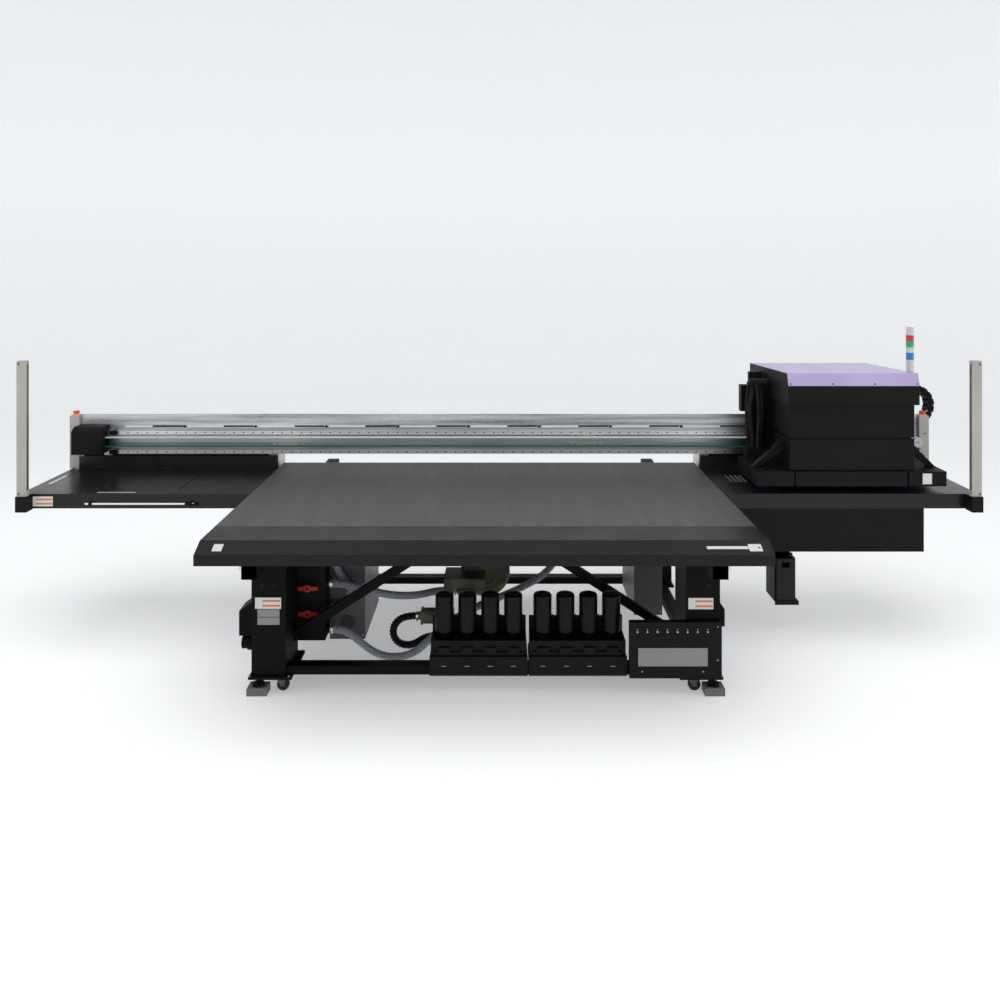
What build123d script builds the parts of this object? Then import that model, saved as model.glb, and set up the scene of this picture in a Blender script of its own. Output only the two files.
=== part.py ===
from build123d import *
import math
import os

# Flatbed UV printer, millimetres, +Z up, +Y to the back. The origin is the middle of the
# footprint at floor level. Values named *_x are measured from the table's middle unless said.

# ---- overall
overall_width = 5468.0
overall_depth = 2250.0
table_height = 870.0
table_x = -98.0            # table's middle from the overall middle
half_width = overall_width / 2
front_y = -overall_depth / 2
rear_y = overall_depth / 2
gap = 0.5                  # running clearance between parts that slide past each other
sheet = 3.0                # sheet metal of covers and pans

# ---- table
table_width = 2640.0
plate_depth = 1375.0
plate_thickness = 25.0
strip_depth = 209.0
slope_depth = 90.0
slope_drop = 41.0
rim_height = 90.0
half_table = table_width / 2
flat_front_y = front_y + slope_depth
seam_y = flat_front_y + strip_depth
table_back_y = seam_y + plate_depth
rim_z = table_height - rim_height
chamber_margin = 30.0
chamber_wall = 4.0

# ---- base frame
leg_inner = 998.0
leg_width = 171.0
leg_depth = 267.0
leg_wall = 5.0
leg_front_y = front_y + 400.0
rear_leg_back_y = 784.0
base_plate_z = 84.0
base_plate_thickness = 13.0
base_plate_front = 20.0
rail_tube_depth = 70.0
rail_tube_height = 42.0
top_rail_depth = 80.0
brace_width = 45.0
brace_depth = 30.0
brace_foot_z = 216.0
brace_rise = 0.64          # height over run of the braces
top_rail_set_back = 170.0
tube_wall = 3.0
leg_outer = leg_inner + leg_width
leg_bottom_z = base_plate_z + base_plate_thickness

# ---- running rails for the bridge
rail_beam_inner = 1068.0
rail_beam_width = 76.0
rail_beam_height = 100.0
rail_beam_top_z = rim_z - 12.0
rail_beam_front_y = front_y + 140.0
guide_width = 18.0
guide_height = 28.0
rail_beam_outer = rail_beam_inner + rail_beam_width
rail_beam_z = rail_beam_top_z - rail_beam_height
leg_top_z = rail_beam_z

# ---- feet and casters
foot_x = 1141.0
foot_set_back = 25.0       # from a leg's outer face to the foot's middle
pad_size = 100.0
pad_depth = 80.0
pad_height = 39.0
foot_disc_radius = 30.0
foot_disc_height = 12.0
stud_radius = 8.0
caster_x = 1036.0
caster_set_back = 50.0
wheel_radius = 31.0
wheel_width = 24.0
wheel_lift = 3.0
axle_radius = 4.0
axle_fit = 0.05
caster_trail = 14.0

# ---- ink supply
rack_start_x = -281.0
rack_width = 490.0
rack_gap = 6.0
rack_depth = 165.0
rack_bottom_z = 95.0
rack_front_height = 94.0
rack_step_height = 75.0
rack_step_depth = 130.0
bottle_radius = 47.0
bottle_body_z = 286.0
bottle_height = 196.0
bottle_neck_radius = 17.0
bottle_neck_length = 26.0
bottle_pitch = 116.0
bottle_count = 4
panel_start_x = 713.0
panel_depth = 35.0
panel_bottom_z = 99.0
panel_height = 277.0

# ---- vacuum system
valve_box_inner = 863.0
valve_box_outer = 1120.0
valve_box_y = leg_front_y + 310.0
valve_box_depth = 150.0
valve_box_top_z = 600.0
valve_x = -950.0
valve_heights = {"upper": 430.0, "lower": 294.0}
valve_lever_length = 114.0
valve_lever_height = 40.0
valve_stem_radius = 14.0
stem_bore_fit = 0.05
blower_x = table_x - 13.0
blower_y = -80.0
blower_z = 400.0
blower_radius = 140.0
blower_thickness = 130.0
control_cabinet = (-860.0, -667.0, -300.0, 238.0, 98.0)    # left and right from the table, front, back, bottom
power_cabinet = (833.0, 993.0, -115.0, 361.0, 155.0)
cabinet_sheet = 2.0
leg_box_set_back = 105.0
leg_box_depth = 120.0
mains_box_reach = 93.0
mains_box_z = 251.0
mains_box_height = 189.0
mains_box_slope = 62.0       # the top falls by this much to the outer side
coupling_z = 196.0
coupling_radius = 33.0
right_box_reach = 50.0
right_box_z = 299.0
right_box_height = 87.0
hose_diameter = 42.0
hose_stub = 25.0           # how far a hose stub stands out

# ---- bridge
end_cover_width = 60.0
end_cover_height = 322.0      # above the table
plinth_size = 48.0
plinth_height = 5.0
stop_stem_height = 4.0
chain_overhang = 63.0      # how far the cable chain's bend stands out past the right end cover
arm_gap = 12.0
arm_width = 71.0
beam_overlap = 104.0       # the table runs under the beam by this much
beam_depth = 200.0
beam_wall = 6.0
beam_lift = 82.0           # beam's underside above the table
beam_height = 163.0
trough_height = 86.0
trough_depth = 155.0
trough_back_drop = 40.0      # the back wall stands lower than the front one
trough_slot_start = 454.0
trough_slot_pitch = 448.0
trough_slot_length = 188.0
beam_guide_size = 24.0
beam_guide_depth = 20.0
upper_guide_lift = 217.0
lower_guide_lift = 96.0
beam_y = table_back_y - beam_overlap
beam_z = table_height + beam_lift
beam_top_z = beam_z + beam_height
left_end_x = -half_width
right_end_x = half_width - chain_overhang

# ---- wings beside the table
wing_depth = 599.0
wing_height = 82.0
wing_drop = 10.0
wing_end_gap = 13.0
wing_top_z = table_height - wing_drop
wing_back_y = beam_y - 24.0
wing_front_y = wing_back_y - wing_depth
housing_height = 243.0
housing_width = 1052.0
housing_depth = 578.0
post_width = 54.0
post_depth = 30.0
post_height = 750.0
bracket_width = 62.0
bracket_depth = 70.0
bracket_height = 86.0
tank_x = table_x + 1729.0
tank_width = 120.0
tank_depth = 150.0
tank_height = 243.0
tray_z = 193.0
tray_thickness = 20.0

# ---- belt drive
pulley_radius = 26.0
belt_thickness = 4.0
belt_width = 40.0
belt_y = beam_y - 48.0
belt_z = table_height + 165.0
left_pulley_x = left_end_x + 150.0
right_pulley_x = right_end_x - 90.0
pulley_shaft_radius = 10.0
shaft_fit = 0.05

# ---- cable chain
chain_height = 40.0
chain_width = 80.0
chain_bend_radius = 132.0
chain_y = beam_y + 70.0
chain_floor_z = beam_top_z + 5.0
chain_anchor_x = 660.0
chain_bend_x = half_width - chain_bend_radius

# ---- carriage and print unit
unit_left_x = 1612.0       # lower cowl's left side, from the overall middle
unit_width = 707.0
cowl_front_y = wing_front_y + 43.0
cowl_back_y = beam_y - 103.0
cowl_overhang = 16.0
band_proud = 30.0
lower_cowl_z = table_height + 112.0
lower_cowl_height = 174.0
middle_cowl_z = table_height + 297.0
middle_cowl_height = 183.0
band_z = table_height + 485.0
band_height = 108.0
lid_height = 69.0
lid_back_y = beam_y + 151.0
lid_fall = 26.0
lid_front_lean = 25.0
lid_skirt = 28.0
skirt_left_x = 1421.0
skirt_width = 1072.0
skirt_depth = 397.0
skirt_z = table_height + 25.0
skirt_height = 83.0
lamp_bay_width = 212.0
bay_gap = 10.0
plate_left_x = 1511.0
plate_width = 819.0
plate_wall = 20.0
plate_y = beam_y - 95.0
plate_z = table_height + 74.0
plate_top_z = table_height + 535.0
column_width = 80.0
column_top_z = table_height + 613.0
lift_rail_z = table_height + 150.0
lift_rail_top_z = table_height + 525.0


def block(x0, x1, y0, y1, z0, z1):
    """Rectangular solid between two corners."""
    size = Box(x1 - x0, y1 - y0, z1 - z0)
    return Pos((x0 + x1) / 2, (y0 + y1) / 2, (z0 + z1) / 2) * size


def round_bar(axis, radius, start, end, centre):
    """Cylinder along X, Y or Z from start to end, centred on the other two coordinates."""
    length = end - start
    middle = (start + end) / 2
    if axis == "x":
        return Pos(middle, *centre) * Rot(0, 90, 0) * Cylinder(radius, length)
    if axis == "y":
        return Pos(centre[0], middle, centre[1]) * Rot(90, 0, 0) * Cylinder(radius, length)
    return Pos(*centre, middle) * Cylinder(radius, length)


def prism_x(points, x0, x1):
    """Outline in (Y, Z) extruded along X."""
    face = make_face(Plane.YZ.offset(x0) * Polyline(*points, close=True))
    return extrude(face, x1 - x0, dir=(1, 0, 0))


def prism_y(points, y0, y1):
    """Outline in (X, Z) extruded along Y."""
    face = make_face(Plane.XZ.offset(-y0) * Polyline(*points, close=True))
    return extrude(face, y1 - y0, dir=(0, 1, 0))


def tube_x(x0, x1, y0, y1, z0, z1, wall):
    """Rectangular tube along X, open at both ends."""
    core = block(x0 - 1, x1 + 1, y0 + wall, y1 - wall, z0 + wall, z1 - wall)
    return block(x0, x1, y0, y1, z0, z1) - core


def tube_y(x0, x1, y0, y1, z0, z1, wall):
    """Rectangular tube along Y, open at both ends."""
    core = block(x0 + wall, x1 - wall, y0 - 1, y1 + 1, z0 + wall, z1 - wall)
    return block(x0, x1, y0, y1, z0, z1) - core


def tube_z(x0, x1, y0, y1, z0, z1, wall):
    """Rectangular tube along Z, open at both ends."""
    core = block(x0 + wall, x1 - wall, y0 + wall, y1 - wall, z0 - 1, z1 + 1)
    return block(x0, x1, y0, y1, z0, z1) - core


def pan(x0, x1, y0, y1, z0, z1, wall):
    """Sheet box open underneath."""
    core = block(x0 + wall, x1 - wall, y0 + wall, y1 - wall, z0 - 1, z1 - wall)
    return block(x0, x1, y0, y1, z0, z1) - core


def tray(x0, x1, y0, y1, z0, z1, wall):
    """Sheet box open on top."""
    core = block(x0 + wall, x1 - wall, y0 + wall, y1 - wall, z0 + wall, z1 + 1)
    return block(x0, x1, y0, y1, z0, z1) - core


def back_open(x0, x1, y0, y1, z0, z1, wall):
    """Sheet box open at the back."""
    core = block(x0 + wall, x1 - wall, y0 + wall, y1 + 1, z0 + wall, z1 - wall)
    return block(x0, x1, y0, y1, z0, z1) - core


def both_sides(solids):
    """The solids, given on the table's right side about X = 0, and their mirror, moved to the table."""
    mirrored = [mirror(solid, Plane.YZ) for solid in solids]
    return [Pos(table_x, 0, 0) * solid for solid in solids + mirrored]


def corner_places(set_back, x):
    """The four (X, Y) places under the legs, front left, front right, rear left, rear right."""
    front = leg_front_y + set_back
    rear = rear_leg_back_y - set_back
    return {
        "front_left": (table_x - x, front),
        "front_right": (table_x + x, front),
        "rear_left": (table_x - x, rear),
        "rear_right": (table_x + x, rear),
    }


# ---------------------------------------------------------------- base

def base_frame():
    solids = []
    rear_leg_y = rear_leg_back_y - leg_depth
    rail_z1 = leg_bottom_z + rail_tube_height
    for y0 in (leg_front_y, rear_leg_y):
        y1 = y0 + leg_depth
        solids.append(tube_z(leg_inner, leg_outer, y0, y1, leg_bottom_z, leg_top_z, leg_wall))
        plate = block(leg_inner - 33, leg_outer + 12, y0 - base_plate_front, y1 + base_plate_front,
                      base_plate_z, leg_bottom_z)
        solids.append(plate)
    side_x = leg_inner + 50
    side = tube_y(side_x, side_x + rail_tube_depth, leg_front_y + leg_depth, rear_leg_y,
                  leg_bottom_z, rail_z1, tube_wall)
    solids.append(side)
    for y0, y1 in brace_planes():
        solids.append(prism_y(brace_outline(), y0, y1))
    solids = both_sides(solids)
    for y0 in cross_rail_fronts():
        rail = tube_x(table_x - leg_inner, table_x + leg_inner, y0, y0 + rail_tube_depth,
                      leg_bottom_z, rail_z1, tube_wall)
        solids.append(rail)
    for y0, y1 in top_rail_spans():
        reach = rail_beam_inner - 4
        solids.append(tube_x(table_x - reach, table_x + reach, y0, y1, leg_top_z, rim_z, tube_wall))
    return solids


def cross_rail_fronts():
    """Front faces of the two low cross rails."""
    return (leg_front_y + 10, rear_leg_back_y - leg_depth + 10)


def top_rail_spans():
    """Front and back faces of the two rails under the table."""
    front = leg_front_y + top_rail_set_back
    rear = rear_leg_back_y - top_rail_set_back - top_rail_depth
    return ((front, front + top_rail_depth), (rear, rear + top_rail_depth))


def brace_planes():
    """Front and back faces of the braces, within the depth of the top rails."""
    spans = top_rail_spans()
    return ((spans[0][0] + 15, spans[0][0] + 15 + brace_depth),
            (spans[1][1] - 15 - brace_depth, spans[1][1] - 15))


def brace_outline():
    """Brace from the leg's inner face up to the underside of the top rail, as (X, Z)."""
    angle = math.atan(brace_rise)
    half_tall = brace_width / 2 / math.cos(angle)
    half_long = brace_width / 2 / math.sin(angle)
    top_x = leg_inner - (leg_top_z - brace_foot_z) / brace_rise
    return [(leg_inner, brace_foot_z - half_tall), (leg_inner, brace_foot_z + half_tall),
            (top_x + half_long, leg_top_z), (top_x - half_long, leg_top_z)]


def floor_pads():
    pads = []
    for x, y in corner_places(foot_set_back, foot_x).values():
        pad = block(x - pad_size / 2, x + pad_size / 2, y - pad_depth / 2, y + pad_depth / 2, 0, pad_height)
        pads.append(chamfer(pad.edges().group_by(Axis.Z)[-1], 3))
    return pads


def levelling_feet():
    feet = []
    for x, y in corner_places(foot_set_back, foot_x).values():
        disc_top = pad_height + foot_disc_height
        disc = round_bar("z", foot_disc_radius, pad_height, disc_top, (x, y))
        stud = round_bar("z", stud_radius, disc_top, base_plate_z, (x, y))
        nut_outline = RegularPolygon(15, 6)
        nut = extrude(Pos(x, y, base_plate_z - 13) * nut_outline, 13)
        feet.append(disc + stud + nut)
    return feet


def caster_fork(x, y):
    """Swivel head, two cheeks and the fixed axle, with the wheel trailing towards +X."""
    wheel_z = wheel_lift + wheel_radius
    inner = wheel_width / 2 + 1.5
    outer = inner + 3
    head = round_bar("z", 25, base_plate_z - 10, base_plate_z, (x, y))
    crown = block(x - 22, x + 30, y - outer, y + outer, base_plate_z - 15, base_plate_z - 10)
    cheek = [(x - 22, base_plate_z - 10), (x + 30, base_plate_z - 10),
             (x + caster_trail + 10, wheel_z - 9), (x + caster_trail - 10, wheel_z - 9)]
    fork = head + crown
    for y0, y1 in ((y - outer, y - inner), (y + inner, y + outer)):
        fork = fork + prism_y(cheek, y0, y1)
    return [fork + round_bar("y", axle_radius, y - outer - 3, y + outer + 3, (x + caster_trail, wheel_z))]


def caster_wheel(x, y):
    wheel_z = wheel_lift + wheel_radius
    centre = (x + caster_trail, wheel_z)
    tread = round_bar("y", wheel_radius, y - wheel_width / 2, y + wheel_width / 2, centre)
    tread = fillet(tread.edges().filter_by(GeomType.CIRCLE), 4)
    bore = round_bar("y", axle_radius + axle_fit, y - wheel_width, y + wheel_width, centre)
    return [tread - bore]


def table_plate():
    return [block(table_x - half_table + sheet, table_x + half_table - sheet, seam_y, table_back_y,
                  table_height - plate_thickness, table_height)]


def table_cover():
    """Front strip, slope, front face and lip, with a side sheet on each flank and one at the back."""
    x0 = table_x - half_table + sheet
    x1 = table_x + half_table - sheet
    top = table_height
    slope_z = top - slope_drop
    slant = sheet * 0.55
    lip = 40
    strip = block(x0, x1, flat_front_y + slant, seam_y, top - sheet, top)
    slope = prism_x([(flat_front_y + slant, top), (flat_front_y, top), (front_y, slope_z),
                     (front_y + sheet, slope_z - slant), (flat_front_y + slant, top - sheet)], x0, x1)
    face = block(x0, x1, front_y, front_y + sheet, rim_z, slope_z - slant)
    lip_sheet = block(x0, x1, front_y + sheet, front_y + lip, rim_z, rim_z + sheet)
    flank = [(table_back_y, top), (flat_front_y, top), (front_y, slope_z),
             (front_y, rim_z), (table_back_y, rim_z)]
    left = prism_x(flank, x0 - sheet, x0)
    right = prism_x(flank, x1, x1 + sheet)
    back = block(x0 - sheet, x1 + sheet, table_back_y, table_back_y + sheet, rim_z, top)
    return [strip, slope, face, lip_sheet, left, right, back]


def vacuum_chamber():
    """Shallow chamber under the plate: floor with two hose stubs, four walls and a divider."""
    x0 = table_x - half_table + chamber_margin
    x1 = table_x + half_table - chamber_margin
    y0 = seam_y + chamber_margin
    y1 = table_back_y - chamber_margin
    floor_z = rim_z + chamber_wall
    z1 = table_height - plate_thickness
    wall = chamber_wall
    floor = block(x0, x1, y0, y1, rim_z, floor_z)
    for x, y in chamber_ports():
        floor = floor + round_bar("z", hose_diameter / 2, rim_z - hose_stub, rim_z, (x, y))
    walls = [block(x0, x1, y0, y0 + wall, floor_z, z1), block(x0, x1, y1 - wall, y1, floor_z, z1)]
    for x in (x0, table_x - wall / 2, x1 - wall):
        walls.append(block(x, x + wall, y0 + wall, y1 - wall, floor_z, z1))
    return [floor] + walls


def chamber_ports():
    """Places of the two hose stubs under the chamber."""
    return ((return_route[-1][0], return_route[-1][1]), (long_route[-1][0], long_route[-1][1]))


def rail_beams():
    beam = tube_y(rail_beam_inner, rail_beam_outer, rail_beam_front_y, rear_y,
                  rail_beam_z, rail_beam_top_z, tube_wall)
    return both_sides([beam])


def bridge_guides():
    """Linear guides on the outer faces of the rail beams."""
    z = (rail_beam_z + rail_beam_top_z) / 2
    rail = block(rail_beam_outer, rail_beam_outer + guide_width, rail_beam_front_y + 20, rear_y - 10,
                 z - guide_height / 2, z + guide_height / 2)
    return both_sides([rail])


def rack_start(index):
    return table_x + rack_start_x + index * (rack_width + rack_gap)


def bottle_places(index):
    """Middles of one rack's bottles."""
    first = rack_start(index) + (rack_width - (bottle_count - 1) * bottle_pitch) / 2
    y = leg_front_y + 70
    return [(first + n * bottle_pitch, y) for n in range(bottle_count)]


def step_top_z():
    return rack_bottom_z + rack_front_height + rack_step_height


def ink_racks():
    """Two racks, each a front sheet, a base on the low rail, a shelf with bottle sockets and a back."""
    solids = []
    base_top = rack_bottom_z + rack_front_height
    rail_top = leg_bottom_z + rail_tube_height
    shelf_y = leg_front_y + 15
    for index in range(2):
        x0 = rack_start(index)
        x1 = x0 + rack_width
        solids.append(block(x0, x1, leg_front_y, leg_front_y + 8, rack_bottom_z, base_top))
        solids.append(tube_x(x0, x1, leg_front_y + 8, leg_front_y + rack_depth, rail_top, base_top, 3))
        shelf = block(x0 + 5, x1 - 5, shelf_y, shelf_y + rack_step_depth, base_top, step_top_z())
        for x, y in bottle_places(index):
            socket_bottom = bottle_body_z - 20 - bottle_neck_length - 1
            shelf = shelf - round_bar("z", bottle_neck_radius + 1, socket_bottom, step_top_z() + 1, (x, y))
        solids.append(shelf)
        solids.append(block(x0 + 5, x1 - 5, shelf_y + rack_step_depth, leg_front_y + rack_depth,
                            base_top, step_top_z() + 70))
    return solids


def ink_bottles(index):
    """Four upturned bottles, neck down in their sockets."""
    bottles = []
    neck_z = bottle_body_z - 20
    top_z = bottle_body_z + bottle_height
    for x, y in bottle_places(index):
        neck = round_bar("z", bottle_neck_radius, neck_z - bottle_neck_length, neck_z, (x, y))
        shoulder = Pos(x, y, neck_z + 10) * Cone(bottle_neck_radius, bottle_radius, 20)
        body = round_bar("z", bottle_radius, bottle_body_z, top_z, (x, y))
        body = fillet(body.edges().group_by(Axis.Z)[-1], 8)
        bottles.append(neck + shoulder + body)
    return bottles


def ink_panel():
    x0 = table_x + panel_start_x
    x1 = table_x + leg_outer
    return [back_open(x0, x1, leg_front_y - panel_depth, leg_front_y, panel_bottom_z,
                      panel_bottom_z + panel_height, 2)]


def valve_box():
    """Manifold box behind the left leg with two stems and three hose stubs."""
    x0 = table_x - valve_box_outer
    x1 = table_x - valve_box_inner
    bottom = leg_bottom_z + rail_tube_height
    box = back_open(x0, x1, valve_box_y, valve_box_y + valve_box_depth, bottom, valve_box_top_z, sheet)
    for z in valve_heights.values():
        box = box + round_bar("y", valve_stem_radius, valve_box_y - 30, valve_box_y + 1, (table_x + valve_x, z))
        stem = round_bar("y", 6, valve_box_y - 48, valve_box_y - 29, (table_x + valve_x, z))
        box = box + stem
    for route in (upper_route, return_route, long_route):
        start = route[0]
        stub = round_bar("x", hose_diameter / 2, x1 - 1, start[0], (start[1], start[2]))
        box = box + stub
    return [box]


def valve_lever(z):
    """Quarter-turn lever on its stem, lying level when the valve is open."""
    x = table_x + valve_x
    y1 = valve_box_y - 30 - gap
    y0 = y1 - 12
    half = valve_lever_length / 2
    grip = block(x - half, x + half, y0, y1, z - valve_lever_height / 4, z + valve_lever_height / 4)
    grip = fillet(grip.edges().filter_by(Axis.Y), valve_lever_height / 4 - 1)
    hub = round_bar("y", valve_lever_height / 2, y0, y1, (x, z))
    bore = round_bar("y", 6 + stem_bore_fit, y0 - 1, y1 + 1, (x, z))
    return [grip + hub - bore]


def blower():
    """Ring blower hung under the table, with a silencer, an inlet port and a drain for the hoses."""
    y0 = blower_y - blower_thickness / 2
    y1 = blower_y + blower_thickness / 2
    ring = round_bar("y", blower_radius, y0, y1, (blower_x, blower_z))
    ring = fillet(ring.edges().filter_by(GeomType.CIRCLE), 40)
    motor = round_bar("y", 85, y1 - 5, y1 + 180, (blower_x, blower_z))
    hanger = block(blower_x - 60, blower_x + 60, y0 + 30, y1 - 30, blower_z + 100, rim_z)
    x, y, z = black_route[0]
    stub = round_bar("x", hose_diameter / 2, x, x + 8, (y, z))
    flange = block(x + 8, x + 22, y - 36, y + 36, z - 36, z + 36)
    silencer = round_bar("x", 42, x + 22, x + 190, (y, z))
    riser_x = x + 160
    riser = round_bar("z", 25, z, blower_z + 20, (riser_x, y))
    duct = block(riser_x - 25, blower_x, y - 25, y0 + 50, blower_z - 30, blower_z + 20)
    end_x, end_y, end_z = black_route[-1]
    drain = block(end_x, end_x + 60, end_y - 30, end_y + 30, end_z - 30, end_z + 30)
    link = block(end_x + 25, end_x + 55, end_y - 10, end_y + 30, end_z + 30, z)
    port_x, port_y, port_z = upper_route[-1]
    port = round_bar("x", hose_diameter / 2 + 6, port_x, blower_x, (port_y, port_z))
    return [ring + motor + hanger + stub + flange + silencer + riser + duct + drain + link + port]


def cabinets():
    """Control cabinet on the left and power cabinet on the right, hung under the table, with back sheets."""
    solids = []
    for start_x, end_x, y0, y1, z0 in (control_cabinet, power_cabinet):
        x0 = table_x + start_x
        x1 = table_x + end_x
        solids.append(back_open(x0, x1, y0, y1, z0, rim_z, cabinet_sheet))
        solids.append(block(x0, x1, y1, y1 + cabinet_sheet, z0, rim_z))
    return solids


def leg_boxes():
    """Mains switch box and coupling on the left leg, and a small box on the right leg."""
    x = table_x - leg_outer
    y0 = leg_front_y + leg_box_set_back
    y1 = y0 + leg_box_depth
    outer_x = x - mains_box_reach
    mains_top_z = mains_box_z + mains_box_height
    mains = prism_y([(x, mains_box_z), (outer_x, mains_box_z), (outer_x, mains_top_z - mains_box_slope),
                     (x, mains_top_z)], y0, y1)
    centre = ((y0 + y1) / 2, coupling_z)
    coupling = round_bar("x", coupling_radius, x - 90, x, centre)
    collar = round_bar("x", coupling_radius + 7, x - 60, x - 40, centre)
    right_x = table_x + leg_outer
    small = block(right_x, right_x + right_box_reach, y0, y1, right_box_z, right_box_z + right_box_height)
    return [mains, coupling + collar, small]


# ---- hose routes: control points chosen to follow each hose, ends on the stubs

stub_x = table_x - valve_box_inner + 20
stub_z = rim_z - hose_stub
upper_route = [(stub_x, -396, 437), (-860, -396, 437), (-735, -374, 390), (-606, -310, 338),
               (-480, -215, 304), (-370, -120, 300), (-268, -120, 300)]
return_route = [(stub_x, -338, 292), (-880, -338, 292), (-838, -338, 334), (-842, -338, 404),
                (-892, -338, 460), (-925, -338, 536), (-930, -338, 640), (-930, -338, stub_z)]
long_route = [(stub_x, -375, 184), (-865, -375, 184), (-778, -394, 124), (-695, -405, 66), (-592, -410, 44),
              (-484, -405, 66), (-398, -396, 142), (-310, -365, 212), (-170, -278, 262), (10, -195, 302),
              (190, -145, 368), (300, -120, 470), (338, -110, 605), (338, -110, stub_z)]
black_route = [(-470, -265, 212), (-540, -265, 212), (-602, -272, 182), (-620, -280, 118),
               (-580, -288, 64), (-500, -296, 62), (-425, -300, 118), (-345, -300, 118)]


def hose(points, diameter):
    """Hose as straight runs joined by tangent arcs, each as large as its two runs allow."""
    vectors = [Vector(*point) for point in points]
    radii = []
    for before, here, after in zip(vectors, vectors[1:], vectors[2:]):
        run_in = here - before
        run_out = after - here
        turn = math.radians(run_in.get_angle(run_out))
        radii.append(0.45 * min(run_in.length, run_out.length) / math.tan(turn / 2))
    path = FilletPolyline(*vectors, radius=radii)
    section = Plane(origin=vectors[0], z_dir=vectors[1] - vectors[0]) * Circle(diameter / 2)
    tube = sweep(section, path)
    area = math.pi * diameter ** 2 / 4
    print("hose: length", round(path.length), "mm, radii", [round(r) for r in radii],
          "volume over section x length", round(tube.volume / (area * path.length), 4))
    return [tube]


# ---------------------------------------------------------------- bridge

def bridge_arms():
    """Side arms that reach round the table's rim to the guides, with two bearing blocks a side."""
    y0 = beam_y + 10
    y1 = beam_y + beam_depth - 10
    inner = half_table + arm_gap
    outer = inner + arm_width
    foot_top = rim_z - 20
    foot_bottom = foot_top - 120
    upright = tube_z(inner, outer, y0, y1, foot_top, beam_z, 6)
    block_inner = rail_beam_outer + 8
    block_outer = rail_beam_outer + 40
    foot = tube_x(block_outer, outer, y0, y1, foot_bottom, foot_top, 6)
    solids = [upright, foot]
    z = (rail_beam_z + rail_beam_top_z) / 2
    groove = block(block_inner - 1, rail_beam_outer + guide_width + gap, y0 - 1, y1 + 1,
                   z - guide_height / 2 - gap, z + guide_height / 2 + gap)
    for start in (y0, y1 - 75):
        solids.append(block(block_inner, block_outer, start, start + 75, z - 26, z + 26) - groove)
    return both_sides(solids)


def beam():
    x0 = left_end_x + end_cover_width
    x1 = right_end_x - end_cover_width
    return [tube_x(x0, x1, beam_y, beam_y + beam_depth, beam_z, beam_top_z, beam_wall)]


def beam_guides():
    """Two linear guides on the front of the beam."""
    solids = []
    for lift in (upper_guide_lift, lower_guide_lift):
        z = table_height + lift
        solids.append(block(left_end_x + 285, right_end_x - 170, beam_y - beam_guide_depth, beam_y,
                            z - beam_guide_size / 2, z + beam_guide_size / 2))
    return solids


def chain_trough():
    """Open trough on top of the beam: floor, slotted front wall and back wall."""
    x0 = left_end_x + end_cover_width
    x1 = right_end_x - end_cover_width
    z1 = beam_top_z + trough_height
    floor = block(x0, x1, beam_y + 2, beam_y + trough_depth - 2, beam_top_z, beam_top_z + 2)
    front = block(x0, x1, beam_y, beam_y + 2, beam_top_z, z1)
    start = x0 + trough_slot_start
    while start + trough_slot_length < x1 - 20:
        front = front - block(start, start + trough_slot_length, beam_y - 1, beam_y + 3,
                              beam_top_z + 4, beam_top_z + 14)
        start += trough_slot_pitch
    back = block(x0, x1, beam_y + trough_depth - 2, beam_y + trough_depth, beam_top_z, z1 - trough_back_drop)
    return [floor, front, back]


def drive_cover():
    """Cover over the belt's motor pulley at the left end of the beam."""
    x0 = left_end_x + end_cover_width
    x1 = left_end_x + 243
    y0 = beam_y - 130
    z0 = table_height + 100
    z1 = table_height + 266
    outline = [(beam_y, z0), (y0, z0), (y0, z1 - 25), (y0 + 35, z1), (beam_y, z1)]
    inner = [(beam_y + 1, z0 + 4), (y0 + 4, z0 + 4), (y0 + 4, z1 - 27), (y0 + 37, z1 - 4), (beam_y + 1, z1 - 4)]
    shell = prism_x(outline, x0, x1) - prism_x(inner, x0 + 4, x1 - 4)
    run_half = pulley_radius + belt_thickness
    slot = block(x1 - 5, x1 + 1, belt_y - belt_width / 2 - 6, belt_y + belt_width / 2 + 6,
                 belt_z - run_half - 6, belt_z + run_half + 6)
    shaft = round_bar("y", pulley_shaft_radius, y0 + 1, beam_y, (left_pulley_x, belt_z))
    return [shell - slot, shaft]


def end_covers():
    """A cover at each end of the beam, open behind, with a yellow plinth for the stop button."""
    solids = []
    z1 = table_height + end_cover_height
    y0 = wing_back_y
    y1 = chain_y - chain_width / 2 - 5
    for x0 in (left_end_x, right_end_x - end_cover_width):
        solids.append(back_open(x0, x0 + end_cover_width, y0, y1, wing_top_z, z1, sheet))
        x, y = stop_place(x0)
        half = plinth_size / 2
        plinth_z = z1 + plinth_height
        plinth = block(x - half, x + half, y - half, y + half, z1, plinth_z)
        stem = round_bar("z", 8, plinth_z, plinth_z + stop_stem_height, (x, y))
        solids.append(plinth + stem)
    idler_x = right_pulley_x
    solids.append(block(idler_x - 20, idler_x + 20, beam_y - 20, beam_y, belt_z - 18, belt_z + 18))
    solids.append(round_bar("y", pulley_shaft_radius, belt_y - belt_width / 2 - 4, beam_y - 20,
                            (idler_x, belt_z)))
    return solids


def stop_place(cover_x):
    return (cover_x + end_cover_width / 2, wing_back_y + 25)


def stop_button(cover_x):
    """Mushroom head of an emergency stop."""
    x, y = stop_place(cover_x)
    z = table_height + end_cover_height + plinth_height + stop_stem_height + 5.5     # 5 of it is the press
    head = round_bar("z", 20, z, z + 16, (x, y))
    head = fillet(head.edges().group_by(Axis.Z)[-1], 6)
    skirt = round_bar("z", 14, z - 0.2, z, (x, y))
    return [head + skirt]


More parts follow.
